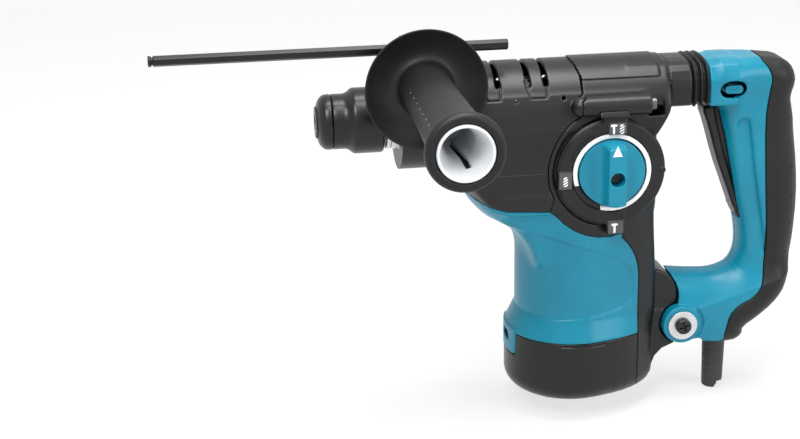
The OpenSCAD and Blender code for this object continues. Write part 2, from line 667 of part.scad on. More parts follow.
module mode_knob_screw() color(steel) {
    knob_ring(4.2, knob_y - knob_bar_h + 5, knob_y - knob_bar_h + 8);
    knob_ring(2, knob_y - knob_bar_h + 7.9, -case_hw + 6);
}
module mode_shaft() color(steel) difference() {
    union() {
        knob_ring(8, -case_hw - 0.3, -case_hw + 15);
        ycyl(2.2, -case_hw + 14.9, -case_hw + 19, knob_x, knob_z + 4.5);
    }
    knob_ring(2, -big, -case_hw + 6);
}

// ---------------------------------------------------------------- rear handle
module lock_shape(gap, y0, y1) {
    for (dx = [-3.3, 3.3]) ycyl(3 + gap, y0, y1, lock_x + dx, lock_z);
    box(lock_x - 3.3, lock_x + 3.3, y0, y1, lock_z - 3 - gap, lock_z + 3 + gap);
}
lock_x = 273;
lock_z = 12.5;
module lock_bracket() box(lock_x - 6, lock_x + 6, -8, -5.5, 8.6, top_z - handle_wall + 0.3);
trigger_pin = [283.6, -72.5];
module trigger_seat(side) intersection() {
    ycyl(6, side < 0 ? -big : trigger_hw + 0.6, side < 0 ? -trigger_hw - 0.6 : big, trigger_pin[0],
        trigger_pin[1]);
    handle_solid(1);
    box(trigger_pin[0] - 1, big, -big, big, -big, big);
}
switch_x = 291;
module switch_seat(side) intersection() {
    box(switch_x + 5, switch_x + 13, side < 0 ? -big : 8.6, side < 0 ? -8.6 : big, -58, -27);
    handle_solid(skin + 0.1);
}
module cord_seat() intersection() {
    zcyl(12.5, cord_z, cord_z + 11.8, cord_x);
    handle_solid(skin);
}
module clamp_seat() intersection() {
    box(cord_x - 10, cord_x + 10, -big, -4.1, cord_z + 18, cord_z + 26);
    handle_solid(skin + 0.1);
}
module handle_shell(side) difference() {
    union() {
        handle_half(side);
        difference() {
            union() {
                trigger_seat(side);
                switch_seat(side);
                intersection() {
                    cord_seat();
                    side_box(side);
                }
                if (side < 0) clamp_seat();
            }
            lug_room();
        }
    }
    ycyl(3 + run_gap, -handle_hw + 5, handle_hw - 5, trigger_pin[0], trigger_pin[1]);
    zcyl(8.2, cord_z - 1, cord_z + 12, cord_x);
}
module handle_shell_left() color(teal) handle_shell(-1);
module handle_shell_right() color(teal) handle_shell(1);
module grip_cover() color(black) difference() {
    intersection() {
        difference() {
            handle_solid(0);
            handle_solid(skin);
        }
        side_plate(skin_region, -big, big);
    }
    zcyl(8.2, cord_z - 1, cord_z + 12, cord_x);
    box(250, 290, -trigger_hw - part_gap - 0.2, trigger_hw + part_gap + 0.2, -80, 8);
    for (p = handle_screw_at) ycyl(4, 0, big, p[0], p[1]);
}
module bellows() color(rubber) difference() {
    union() {
        front_plate(inset(neck_outline, 2.4), neck_x1 + 0.1, bellows_x1 - 0.1);
        for (x = [neck_x1 + 0.1, neck_x1 + 4.3, neck_x1 + 8.5]) front_plate(inset(neck_outline, -0.8),
            x, x + 3.2);
    }
    front_plate(inset(neck_outline, 5), neck_x1 - 1, bellows_x1 + 1);
}
guide_z = 18;
module handle_spring() color(steel) translate([neck_x1 + 0.2, 0, guide_z]) rotate([0, 90, 0])
    coil(7.6, 1.8, bellows_x1 - neck_x1 - 0.4, 3);
module spring_guide() color(steel) translate([0, 0, guide_z]) {
    xcyl(3.9, neck_x1 - 6, bellows_x1 + 5);
    xcyl(6.5, neck_x1 - 7, neck_x1 - wall - 0.1);
    xcyl(6.5, bellows_x1 + handle_wall + 0.4, bellows_x1 + 6.5);
}
washer_y = 22;
module pivot_bolt() color(steel) {
    ycyl(5.4, -washer_y - 5, -washer_y - 1.6, pivot_x, pivot_z);
    ycyl(pivot_r, -washer_y - 1.7, washer_y + 5.5, pivot_x, pivot_z);
}
module pivot_washers() color([0.85, 0.85, 0.86]) for (s = [-1, 1]) difference() {
    ycyl(washer_r, s < 0 ? -washer_y - 1.5 : washer_y + 0.1, s < 0 ? -washer_y - 0.1 : washer_y + 1.5,
        pivot_x, pivot_z);
    ycyl(pivot_r + run_gap, -big, big, pivot_x, pivot_z);
}
module pivot_nut() color(steel) difference() {
    translate([pivot_x, washer_y + 6.2, pivot_z]) rotate([90, 0, 0]) cylinder(h = 4.6, r = 7.5, $fn = 6);
    ycyl(pivot_r, 0, big, pivot_x, pivot_z);
}
module pivot_sleeve() color(steel) difference() {
    ycyl(sleeve_r, -lug_hw - 0.3, lug_hw + 0.3, pivot_x, pivot_z);
    ycyl(pivot_r + run_gap, -big, big, pivot_x, pivot_z);
}
trigger_outline = [[284, -79.6], [287, -76.5], [288, -70], [284.5, -48], [278, -20], [273.5, -2], [266,
    0.8], [258, -1.2],
    [256, -3.4], [259.4, -15], [265.4, -38], [272.6, -57.5], [277, -69], [281.5, -78.4]];
module trigger() color([0.2, 0.2, 0.21]) {
    side_plate(trigger_outline, -trigger_hw, trigger_hw);
    ycyl(3, -trigger_hw - 5, trigger_hw + 5, trigger_pin[0], trigger_pin[1]);
}
module trigger_spring() color(steel) translate([283.7, 0, -40]) rotate([0, 90, 0]) coil(3.2, 0.9,
    switch_x - 283.8, 4);
module switch_body() color(black) box(switch_x, switch_x + 18, -8.5, 8.5, -62, -22);
module lock_button() color(teal) lock_shape(0, -handle_hw - 0.8, -12.2);
module lock_button_spring() color(steel) translate([lock_x, -12.1, lock_z]) rotate([-90, 0,
    0]) coil(2.2, 0.6, 4, 3);
guard_z0 = cord_z - 39;
module cord_guard() color([0.25, 0.25, 0.26]) translate([cord_x, 0, 0]) rotate_extrude()
    polygon([[cord_r, guard_z0], [6.8, guard_z0], [7.2, guard_z0 + 1], [8, cord_z - 0.5], [8, cord_z + 12],
        [10.6, cord_z + 12], [10.6, cord_z + 16], [cord_r, cord_z + 16]]);
module cord_clamp() color([0.3, 0.3, 0.3]) box(cord_x - 9.5, cord_x + 9.5, -4, -1.5, cord_z + 18,
    cord_z + 26);
module handle_screws() color(steel) for (p = handle_screw_at) {
    ycyl(3.6, handle_hw - 5.4, handle_hw - 3.4, p[0], p[1]);
    ycyl(1.95, -handle_hw + 5.2, handle_hw - 5.3, p[0], p[1]);
}

// ---------------------------------------------------------------- side grip
end_d = rim_d + grip_len;
grip_r = 16;
core_r = 12;
core_d0 = rim_d - 8.6;
module side_grip() color(rubber) difference() {
    grip_turned(concat([[rim_d - 10.4, 5], [rim_d - 10.4, 15], [rim_d - 7, flange_r - 10],
        [rim_d - 3.4, flange_r - 1.2],
        [rim_d - 1.4, flange_r - 0.1], [rim_d - 0.2, flange_r], [rim_d, flange_r - 0.8], [rim_d - 2.6,
            flange_r - 4],
        [rim_d - 5.8, flange_r - 11], [rim_d - 6.6, flange_r - 17]],
        [for (a = [0 : 15 : 75]) [rim_d - 1.6 - 5 * cos(a), grip_r + 6 - 5.6 * sin(a)]],
        [[rim_d + 8, grip_r], [rim_d + 40, grip_r + 0.2], [rim_d + 85, grip_r + 1], [end_d - 22,
            grip_r + 2.2],
         [end_d - 12, grip_r + 3.6], [end_d - 6.5, endcap_r - 0.8], [end_d - 3.6, endcap_r],
             [end_d - 1.2, endcap_r - 0.7],
         [end_d, endcap_r - 2.6], [end_d, 5]]));
    grip_turned([[core_d0, 0], [core_d0, core_r], [end_d - 14, core_r], [end_d - 8, core_end_r],
        [end_d + 1, core_end_r],
        [end_d + 1, 0]]);
    grip_turned([[0, 0], [0, bolt_r + 0.6], [core_d0 + 1, bolt_r + 0.6], [core_d0 + 1, 0]]);
}
core_end_r = 16.5;
module side_grip_core() color("white") difference() {
    grip_turned([[core_d0, 0], [core_d0, core_r], [end_d - 14, core_r], [end_d - 8, core_end_r],
        [end_d + 0.3, core_end_r],
        [end_d + 0.3, 0]]);
    grip_turned([[0, 0], [0, bolt_r + run_gap], [rim_d + 46, bolt_r + run_gap], [rim_d + 46, 0]]);
    grip_turned([[end_d - 60, 0], [end_d - 60, 8], [end_d - 24, 9.5], [end_d + 1, core_end_r - 2.2],
        [end_d + 1, 0]]);
}
lug_y = 20;     // how far the clamp reaches past the spindle axis on the far side
module side_handle_bolt() color(steel) {
    ycyl(bolt_r, -rim_d - 38, lug_y + 2.9, grip_x, grip_up);
    intersection() {
        ycyl(7.6, lug_y + 0.1, lug_y + 4.6, grip_x, grip_up);
        box(grip_x - 6, grip_x + 6, 0, 60, grip_up - 8, grip_up + 8);
    }
}
clamp_x0 = grip_x - clamp_w / 2;
near_y = 10.7 - rim_d;    // near face of the clamp
module clamp_round(r) xcyl(r, clamp_x0, clamp_x0 + clamp_w);
module rod_hex(r, x0, x1) translate([x0, -rod_side, rod_up]) rotate([0, 90, 0])
    cylinder(h = x1 - x0, r = r / cos(30), $fn = 6);
module clamp_base() color(black) difference() {
    union() {
        intersection() {
            clamp_round(clamp_r);
            box(0, 200, near_y, -1.2, -big, 8);
        }
        box(clamp_x0, clamp_x0 + clamp_w, near_y, -1.2, 6, grip_up + 11);
        box(clamp_x0 + 2, clamp_x0 + clamp_w - 2, -rod_side - 8, -rod_side + 8, grip_up + 10, rod_up + 7);
    }
    xcyl(collar_r + run_gap, 0, 200);
    ycyl(bolt_r + run_gap, -60, 60, grip_x, grip_up);
    rod_hex(rod_flats / 2 + run_gap, 0, 200);
}
module clamp_jaw() color(black) difference() {
    union() {
        intersection() {
            clamp_round(clamp_r);
            box(0, 200, -1.1, big, -big, 0);
        }
        intersection() {
            clamp_round(clamp_r);
            box(0, 200, 1.2, lug_y + 5, -0.1, big);
        }
        box(clamp_x0 + 3, clamp_x0 + clamp_w - 3, 1.2, lug_y, 8, grip_up + 9);
    }
    xcyl(collar_r + run_gap, 0, 200);
    ycyl(bolt_r + run_gap, -60, 60, grip_x, grip_up);
    box(grip_x - 8, grip_x + 8, lug_y, big, grip_up - 8.2, big);
}
rod_x1 = 123.3;
module depth_rod() color(black) difference() {
    rod_hex(rod_flats / 2, rod_x1 - depth_rod_len, rod_x1);
    difference() {
        xcyl(6, rod_x1 - depth_rod_len + 2.6, rod_x1 - depth_rod_len + 3.6, -rod_side, rod_up);
        xcyl(rod_flats / 2 - 0.5, 0 - big, big, -rod_side, rod_up);
    }
}

// ---------------------------------------------------------------- motor
core_z0 = base_z + 68;
core_z1 = plate_z0 - 22;
comm_z0 = base_z + 40.5;
comm_z1 = comm_z0 + 16;
comm_r = 14;
module on_motor() translate([motor_x, 0, 0]) children();
module armature() color(steel) on_motor() difference() {
    union() {
        zcyl(motor_shaft_r, floor_z + 9, gear_z0);
        zcyl(4, gear_z0 - 2, gear_z0 + 2);
        translate([0, 0, gear_z0]) spur(gear_m, pinion_teeth, gear_h);
        zcyl(armature_r, core_z0, core_z1);
        zcyl(armature_r - 4, core_z0 - 7, core_z1 + 5);
    }
    // winding slots of the core
    for (a = [0 : 30 : 330]) rotate([0, 0, a]) box(armature_r - 3, armature_r + 1, -1, 1, core_z0 - 1,
        core_z1 + 1);
}
module commutator() color([0.72, 0.45, 0.25]) on_motor() difference() {
    zcyl(comm_r, comm_z0, comm_z1);
    zcyl(motor_shaft_r, comm_z0 - 1, comm_z1 + 1);
    for (a = [0 : 15 : 345]) rotate([0, 0, a]) box(comm_r - 1, comm_r + 1, -0.3, 0.3, comm_z0 - 1,
        comm_z1 + 1);
}
fan_z = plate_z0 - 17;
module fan() color([0.85, 0.85, 0.82]) on_motor() difference() {
    union() {
        zcyl(30, fan_z, fan_z + 1.5);
        zcyl(8, fan_z, fan_z + 7);
        for (a = [0 : 30 : 330]) rotate([0, 0, a]) box(9, 29.6, -0.7, 0.7, fan_z + 1.4, fan_z + 6.5);
    }
    zcyl(motor_shaft_r, fan_z - 1, fan_z + 8);
}
stator_r = motor_r - wall - (casing_x - motor_x) - part_gap;
module stator() color([0.55, 0.4, 0.3]) on_motor() difference() {
    union() {
        zcyl(stator_r, core_z0 - 1, core_z1 + 1);
        zcyl(stator_r - 2, core_z0 - 7, core_z1 + 3);
    }
    zcyl(armature_r + air_gap, -big, 0);
}
module bearing(ri, ro, z0, z1, x) color(steel) difference() {
    zcyl(ro, z0, z1, x);
    zcyl(ri, z0 - 1, z1 + 1, x);
}
module motor_bearings() {
    bearing(motor_shaft_r + run_gap, brg_r, plate_z0 - 6.5, plate_z0 + 0.9, motor_x);
    bearing(motor_shaft_r + run_gap, brg_r, floor_z + 10, floor_z + 17, motor_x);
}
brush_z = (comm_z0 + comm_z1) / 2;
module carbon_brushes() color([0.2, 0.2, 0.2]) for (s = [-1, 1])
    box(motor_x - 3, motor_x + 3, s < 0 ? -28 : comm_r + 0.25, s < 0 ? -comm_r - 0.25 : 28,
        brush_z - 5, brush_z + 5);
module brush_holders() color([0.8, 0.66, 0.35]) for (s = [-1, 1]) difference() {
    box(motor_x - 5, motor_x + 5, s < 0 ? -34.3 : comm_r + 2.5, s < 0 ? -comm_r - 2.5 : 34.3,
        brush_z - 7, brush_z + 7);
    box(motor_x - 3.1, motor_x + 3.1, s < 0 ? -32.5 : 0, s < 0 ? 0 : 32.5, brush_z - 5.1, brush_z + 5.1);
}

// ---------------------------------------------------------------- hammer train
shaft_r = 5;
module crank_gear() color(steel) {
    translate([crank_x, 0, gear_z0]) spur(gear_m, crank_teeth, gear_h, 180 / crank_teeth);
    zcyl(crank_shaft_r, plate_z0 + 0.2, -20.9, crank_x);
    zcyl(crank_throw + 6, -21, -13.2, crank_x);
    zcyl(shaft_r, -13.3, -4, crank_x - crank_throw);
}
module gear_bearings() {
    bearing(crank_shaft_r + run_gap, brg_r, plate_z0 + 0.3, plate_z1, crank_x);
    bearing(crank_shaft_r + run_gap, brg_r, -32.5, -24, crank_x);
    bearing(shaft_r + run_gap, inter_brg_r, plate_z0 - 4.5, plate_z0 + 0.9, inter_x);
}
module intermediate_gear() color(steel) {
    translate([inter_x, 0, gear_z0]) spur(gear_m, inter_teeth, gear_h);
    zcyl(shaft_r, plate_z0 - 4, 1.3 - bevel_top, inter_x);
    translate([inter_x, 0, 0]) bevel(bevel_small, bevel_large, 180 / bevel_small);
}
bevel_top = (bevel_cone - bevel_face) * cos(atan(bevel_small / bevel_large)) + 3;
wrist_x = crank_x - crank_throw - rod_len;
piston_x0 = wrist_x - 10;
module piston() color([0.75, 0.76, 0.78]) difference() {
    xcyl(cyl_r - run_gap, piston_x0, wrist_x + 8.5);
    zcyl(wrist_pin_r, -20, 20, wrist_x);
    box(wrist_x - 6.5, wrist_x + 20, -10.4, 10.4, -3.9, 3.9);
    // the crank pin passes under the skirt
    box(wrist_x + 4, wrist_x + 20, -20, 20, -20, -3.8);
    for (x = [piston_x0 + 2, piston_x0 + 4.4]) difference() {
        xcyl(cyl_r + 1, x, x + 1.2);
        xcyl(cyl_r - 1, x - 1, x + 3);
    }
}
module wrist_pin() color(steel) zcyl(wrist_pin_r, -11, 11, wrist_x);
module connecting_rod() color(steel) difference() {
    union() {
        zcyl(5.6, -3.5, 3.5, wrist_x);
        zcyl(8, -3.5, 3.5, wrist_x + rod_len);
        box(wrist_x, wrist_x + rod_len, -3.2, 3.2, -3.5, 3.5);
    }
    zcyl(wrist_pin_r + run_gap, -10, 10, wrist_x);
    zcyl(shaft_r + run_gap, -10, 10, wrist_x + rod_len);
}
striker_x = 98;
module striker() color(steel) difference() {
    union() {
        xcyl(cyl_r - run_gap, striker_x, striker_x + 22);
        xcyl(7, striker_x - 6, striker_x + 0.1);
    }
    for (x = [striker_x + 6, striker_x + 12]) difference() {
        xcyl(cyl_r + 1, x, x + 2.4);
        xcyl(cyl_r - 1.8, x - 1, x + 4);
    }
}
module impact_bolt() color(steel) union() {
    x_turned([[bolt_x0, 0], [bolt_x0, 5.6], [bolt_x0 + 1.2, 6.95], [70, 6.95], [70, 9.8], [77, 9.8],
        [79, 6.5], [90, 6.5],
        [91, 5.5], [91, 0]]);
}
module housing_screws() color(steel) {
    for (s = [-1, 1]) {
        xcyl(2.15, split_x - 3, boss_x1 + 0.1, s * boss_y, boss_z);
        xcyl(4, boss_x1 + 0.1, boss_x1 + 3, s * boss_y, boss_z);
    }
    at_base_screws() {
        translate([0, 0, base_z + 3.9]) cylinder(h = base_h + 3, r = 1.95);
        translate([0, 0, base_z + 1.2]) cylinder(h = 2.8, r = 3.6);
    }
}

dust_cap();
chuck_cover();
chuck_spring();
locking_balls();
tool_holder();
spindle_bearings();
oil_seal();
bevel_gear();
barrel_collar();
front_housing();
rear_housing();
motor_housing();
base_cover();
gear_plate();
mode_bezel();
mode_ring();
mode_knob();
mode_knob_screw();
mode_shaft();
handle_shell_left();
handle_shell_right();
grip_cover();
bellows();
handle_spring();
spring_guide();
pivot_bolt();
pivot_nut();
pivot_washers();
pivot_sleeve();
trigger();
trigger_spring();
switch_body();
lock_button();
lock_button_spring();
cord_guard();
cord_clamp();
handle_screws();
side_grip();
side_grip_core();
side_handle_bolt();
clamp_base();
clamp_jaw();
depth_rod();
armature();
commutator();
fan();
stator();
motor_bearings();
carbon_brushes();
brush_holders();
crank_gear();
gear_bearings();
connecting_rod();
piston();
wrist_pin();
striker();
impact_bolt();
intermediate_gear();
housing_screws();
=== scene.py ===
import functools
import json
import math
import bpy
import numpy as np
from mathutils import Matrix, Vector
from mathutils.bvhtree import BVHTree


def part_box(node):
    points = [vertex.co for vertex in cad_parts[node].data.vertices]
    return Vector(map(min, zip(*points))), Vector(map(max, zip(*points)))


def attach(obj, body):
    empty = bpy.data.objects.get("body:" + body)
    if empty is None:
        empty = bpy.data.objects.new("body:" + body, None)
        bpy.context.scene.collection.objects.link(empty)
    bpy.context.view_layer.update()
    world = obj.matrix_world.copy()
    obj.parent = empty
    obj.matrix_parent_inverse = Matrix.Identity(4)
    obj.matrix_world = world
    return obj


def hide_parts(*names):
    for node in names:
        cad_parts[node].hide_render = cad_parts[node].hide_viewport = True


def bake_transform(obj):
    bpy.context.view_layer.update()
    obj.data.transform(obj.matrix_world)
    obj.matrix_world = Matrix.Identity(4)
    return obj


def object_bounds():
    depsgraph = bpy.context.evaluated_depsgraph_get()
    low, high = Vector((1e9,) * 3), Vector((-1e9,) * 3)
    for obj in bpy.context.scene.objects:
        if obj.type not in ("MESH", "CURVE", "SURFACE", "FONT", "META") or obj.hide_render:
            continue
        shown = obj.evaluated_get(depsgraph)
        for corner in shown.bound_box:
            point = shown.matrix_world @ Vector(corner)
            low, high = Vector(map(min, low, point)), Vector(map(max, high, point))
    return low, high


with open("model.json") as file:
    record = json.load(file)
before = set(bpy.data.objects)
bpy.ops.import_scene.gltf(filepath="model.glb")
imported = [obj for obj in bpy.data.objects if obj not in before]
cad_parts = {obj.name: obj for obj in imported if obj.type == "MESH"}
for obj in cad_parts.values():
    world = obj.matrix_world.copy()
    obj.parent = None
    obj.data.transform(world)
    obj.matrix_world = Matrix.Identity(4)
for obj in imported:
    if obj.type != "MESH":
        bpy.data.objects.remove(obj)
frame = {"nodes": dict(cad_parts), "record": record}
CAD_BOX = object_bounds()
SCENE = bpy.context.scene
MM = 0.001


# ------------------------------------------------------------------ camera
W, H = 800, 439
L = max(W, H)
FOCAL_PX = 1653.25
SENSOR_WIDTH = 36.0
LENS = FOCAL_PX * SENSOR_WIDTH / L
SHIFT_X, SHIFT_Y = 0.0, 0.0
CAM_YAW, CAM_PITCH, CAM_ROLL = math.radians(7.49), math.radians(18.81), math.radians(-1.12)
CAM_TARGET = Vector((0.05413, 0.0, -0.0696))
CAM_DISTANCE = 1.09686


def make_camera():
    back = Vector((-math.sin(CAM_YAW) * math.cos(CAM_PITCH), -math.cos(CAM_YAW) * math.cos(CAM_PITCH),
                   math.sin(CAM_PITCH)))
    right = Vector((math.cos(CAM_YAW), -math.sin(CAM_YAW), 0))
    up = back.cross(right)
    c, s = math.cos(CAM_ROLL), math.sin(CAM_ROLL)
    right, up = right * c + up * s, up * c - right * s
    data = bpy.data.cameras.new("camera")
    data.lens, data.sensor_width, data.sensor_fit = LENS, SENSOR_WIDTH, "AUTO"
    data.shift_x, data.shift_y = SHIFT_X, SHIFT_Y
    data.clip_start, data.clip_end = 0.05, 20
    cam = bpy.data.objects.new("camera", data)
    m = Matrix((right, up, back)).transposed().to_4x4()
    m.translation = CAM_TARGET + back * CAM_DISTANCE
    cam.matrix_world = m
    SCENE.collection.objects.link(cam)
    SCENE.camera = cam
    return m


CAM = make_camera()


# ------------------------------------------------------------------ materials
def node_tree(name):
    mat = bpy.data.materials.new(name)
    mat.use_nodes = True
    nt = mat.node_tree
    return mat, nt, nt.nodes["Principled BSDF"]


def add(nt, kind, **values):
    n = nt.nodes.new(kind)
    for key, v in values.items():
        if key in n.inputs:
            n.inputs[key].default_value = v
        else:
            setattr(n, key, v)
    return n


def srgb(r, g, b):
    return tuple(((c / 255 + 0.055) / 1.055) ** 2.4 if c > 10 else c / 255 / 12.92 for c in (r, g, b)) + (1.0,)


def ramp_of(nt, source, low, dark, high, light, target):
    """Two colours by a noise, from dark below low to light above high."""
    ramp = add(nt, "ShaderNodeValToRGB")
    for element, place, colour in zip(ramp.color_ramp.elements, (low, high), (dark, light)):
        element.position, element.color = place, colour
    nt.links.new(source, ramp.inputs["Fac"])
    nt.links.new(ramp.outputs["Color"], target)


def range_of(nt, source, ends, target, span=(0.0, 1.0)):
    """A noise between the ends of span, spread over the given ends."""
    out = add(nt, "ShaderNodeMapRange")
    for socket, value in zip(("From Min", "From Max", "To Min", "To Max"), span + ends):
        out.inputs[socket].default_value = value
    nt.links.new(source, out.inputs["Value"])
    nt.links.new(out.outputs["Result"], target)


def bump_of(nt, source, strength, depth, target):
    out = add(nt, "ShaderNodeBump", Strength=strength, Distance=depth)
    nt.links.new(source, out.inputs["Height"])
    nt.links.new(out.outputs["Normal"], target)


def plastic(name, dark, light, rough, grain=1400.0, bump=0.06, specular=0.38):
    """Moulded plastic or rubber: a cloudy colour between two sRGB levels, a fine grain and uneven gloss."""
    mat, nt, bsdf = node_tree(name)
    co = add(nt, "ShaderNodeTexCoord")
    cloud = add(nt, "ShaderNodeTexNoise", Scale=22.0, Detail=4.0, Roughness=0.6)
    fine = add(nt, "ShaderNodeTexNoise", Scale=grain, Detail=2.0, Roughness=0.5)
    pits = add(nt, "ShaderNodeTexVoronoi", Scale=grain * 0.8)
    link = nt.links.new
    for n in (cloud, fine, pits):
        link(co.outputs["Object"], n.inputs["Vector"])
    ramp_of(nt, cloud.outputs["Fac"], 0.325, srgb(*dark), 0.675, srgb(*light), bsdf.inputs["Base Color"])
    range_of(nt, fine.outputs["Fac"], (rough - 0.05, rough + 0.07), bsdf.inputs["Roughness"], (0.3, 0.7))
    mix = add(nt, "ShaderNodeMath", operation="MULTIPLY")
    link(fine.outputs["Fac"], mix.inputs[0])
    link(pits.outputs["Distance"], mix.inputs[1])
    bump_of(nt, mix.outputs[0], bump, 0.0004, bsdf.inputs["Normal"])
    bsdf.inputs["Specular IOR Level"].default_value = specular
    return mat


def metal(name, colour, rough, scale=(900.0, 900.0, 900.0), bump=0.04):
    """Turned, ground or cast metal: streaked roughness and a little tarnish."""
    mat, nt, bsdf = node_tree(name)
    co = add(nt, "ShaderNodeTexCoord")
    mp = add(nt, "ShaderNodeMapping")
    mp.inputs["Scale"].default_value = scale
    link = nt.links.new
    link(co.outputs["Object"], mp.inputs["Vector"])
    streak = add(nt, "ShaderNodeTexNoise", Scale=1.0, Detail=3.0)
    tarnish = add(nt, "ShaderNodeTexNoise", Scale=60.0, Detail=3.0)
    link(mp.outputs["Vector"], streak.inputs["Vector"])
    link(co.outputs["Object"], tarnish.inputs["Vector"])
    dull = tuple(c * 0.8 for c in colour[:3]) + (1,)
    ramp_of(nt, tarnish.outputs["Fac"], 0.35, dull, 0.65, colour, bsdf.inputs["Base Color"])
    range_of(nt, streak.outputs["Fac"], (rough - 0.08, rough + 0.12), bsdf.inputs["Roughness"])
    bump_of(nt, streak.outputs["Fac"], bump, 0.0003, bsdf.inputs["Normal"])
    bsdf.inputs["Metallic"].default_value = 1.0
    return mat


TEAL = plastic("teal_plastic", (0, 116, 142), (4, 130, 156), 0.34)
BLACK = plastic("black_plastic", (13, 13, 14), (20, 20, 21), 0.36)
SMOOTH_BLACK = plastic("smooth_black_plastic", (11, 11, 12), (16, 16, 17), 0.3, bump=0.03)
RUBBER = plastic("black_rubber", (16, 16, 16), (24, 24, 24), 0.46, grain=900.0, bump=0.12, specular=0.32)
LABEL = plastic("label_plastic", (72, 72, 73), (84, 84, 85), 0.42, bump=0.04)
GUARD = plastic("guard_rubber", (44, 44, 45), (58, 58, 59), 0.5, grain=900.0, bump=0.12)
PIP = plastic("pip_rubber", (120, 120, 122), (140, 140, 142), 0.45)
INK = plastic("dash_rubber", (6, 6, 6), (10, 10, 10), 0.6)
WHITE = plastic("white_plastic", (214, 217, 220), (228, 230, 232), 0.38, bump=0.03)
MARK = plastic("marking_white", (232, 233, 234), (240, 240, 241), 0.5, bump=0.02)
BLACK_STEEL = metal("black_steel", (0.055, 0.055, 0.06, 1), 0.32)
STEEL = metal("dark_steel", (0.15, 0.15, 0.155, 1), 0.3)
BRIGHT = metal("bright_steel", (0.72, 0.72, 0.73, 1), 0.28)
ALLOY = metal("cast_alloy", (0.55, 0.56, 0.57, 1), 0.5, scale=(500.0, 500.0, 500.0), bump=0.2)
COPPER = metal("copper", (0.62, 0.30, 0.14, 1), 0.35)
CARBON = plastic("carbon", (38, 38, 38), (52, 52, 52), 0.7)
SLOT_LOOK = {"teal_shell": TEAL, "black_shell": BLACK, "grip_rubber": RUBBER, "chuck_shell": SMOOTH_BLACK,
             "white_plastic": WHITE, "bright_steel": BRIGHT, "tool_steel": STEEL, "cast_alloy": ALLOY,
             "copper": COPPER, "carbon": CARBON}
NODE_SLOT = {row["node"]: row["material_slot"] for row in frame["record"]["subparts"]}
for node, obj in frame["nodes"].items():
    look = SLOT_LOOK[NODE_SLOT[node]]
    if not obj.data.materials:
        obj.data.materials.append(look)
    for i in range(len(obj.data.materials)):
        obj.data.materials[i] = look


def link_mesh(name, me, look, smooth=False):
    """An object of a new mesh, in the scene."""
    me.materials.append(look)
    me.polygons.foreach_set("use_smooth", np.full(len(me.polygons), smooth))
    ob = bpy.data.objects.new(name, me)
    SCENE.collection.objects.link(ob)
    return ob


def faceted(name, verts, faces, look, unit=MM, smooth=False):
    """An object from vertices in the given unit and faces of any number of sides."""
    me = bpy.data.meshes.new(name)
    me.from_pydata([tuple(c * unit for c in v) for v in verts], [], faces)
    return link_mesh(name, me, look, smooth)


# ------------------------------------------------------------------ stage
FLOOR_Z = CAD_BOX[0][2] - 0.0008
FLOOR_GLOW, WORLD_LEVEL = 0.72, 0.26


def seen_rays(nt):
    """1 for rays from the camera and for those seen in metal or through glass."""
    lp = add(nt, "ShaderNodeLightPath")
    both = add(nt, "ShaderNodeMath", operation="MAXIMUM")
    link = nt.links.new
    link(lp.outputs["Is Glossy Ray"], both.inputs[0])
    link(lp.outputs["Is Transmission Ray"], both.inputs[1])
    reach = add(nt, "ShaderNodeMath", operation="MAXIMUM")
    link(lp.outputs["Is Camera Ray"], reach.inputs[0])
    link(both.outputs[0], reach.inputs[1])
    return reach


def make_stage():
    half, back_y, rise, bend, n = 3.0, 2.2, 2.6, 0.8, 12
    turn = [math.pi / 2 * i / n for i in range(n + 1)]
    prof = [(back_y - bend + bend * math.sin(a), FLOOR_Z + bend - bend * math.cos(a)) for a in turn]
    prof = [(-half, FLOOR_Z)] + prof + [(back_y, FLOOR_Z + rise)]
    verts = [(x, y, z) for y, z in prof for x in (-half, half)]
    faces = [(2 * i, 2 * i + 1, 2 * i + 3, 2 * i + 2) for i in range(len(prof) - 1)]
    mat, nt, bsdf = node_tree("studio_white")
    bsdf.inputs["Base Color"].default_value = (0.86, 0.86, 0.86, 1)
    bsdf.inputs["Roughness"].default_value = 0.9
    bsdf.inputs["Specular IOR Level"].default_value = 0.1
    glow = add(nt, "ShaderNodeEmission", Strength=1.0)
    mx = add(nt, "ShaderNodeMixShader")
    amount = add(nt, "ShaderNodeMath", operation="MULTIPLY")
    amount.inputs[1].default_value = FLOOR_GLOW
    reach = seen_rays(nt)
    link = nt.links.new
    link(reach.outputs[0], amount.inputs[0])
    link(amount.outputs[0], mx.inputs["Fac"])
    link(bsdf.outputs[0], mx.inputs[1])
    link(glow.outputs[0], mx.inputs[2])
    link(mx.outputs[0], nt.nodes["Material Output"].inputs["Surface"])
    faceted("floor", verts, faces, mat, unit=1, smooth=True)


def area(name, place, aim, size, power):
    data = bpy.data.lights.new(name, "AREA")
    data.energy, data.size = power, size
    ob = bpy.data.objects.new(name, data)
    ob.location = place
    ob.rotation_euler = (Vector(aim) - Vector(place)).to_track_quat("-Z", "Y").to_euler()
    SCENE.collection.objects.link(ob)


def make_lights():
    world = bpy.data.worlds.new("studio")
    SCENE.world = world
    world.use_nodes = True
    nt = world.node_tree
    bg = nt.nodes["Background"]
    bg.inputs["Color"].default_value = (1, 1, 1, 1)
    reach = seen_rays(nt)
    range_of(nt, reach.outputs[0], (WORLD_LEVEL, 1.0), bg.inputs["Strength"])
    area("key", (-0.5, -1.1, 1.5), (0.12, 0, -0.05), 0.8, 27)
    area("fill", (1.5, -1.3, 0.7), (0.15, 0, -0.05), 0.9, 12)
    area("top", (0.25, -0.1, 1.7), (0.15, 0, -0.05), 1.0, 34)


make_stage()
make_lights()
SCENE.view_settings.view_transform = "Standard"


# ------------------------------------------------------------------ distance fields
# Every shape below is a function of X, Y, Z in millimetres that is negative inside.
def smin(a, b, k):
    h = np.maximum(k - abs(a - b), 0.0) / k
    return np.minimum(a, b) - h * h * k * 0.25


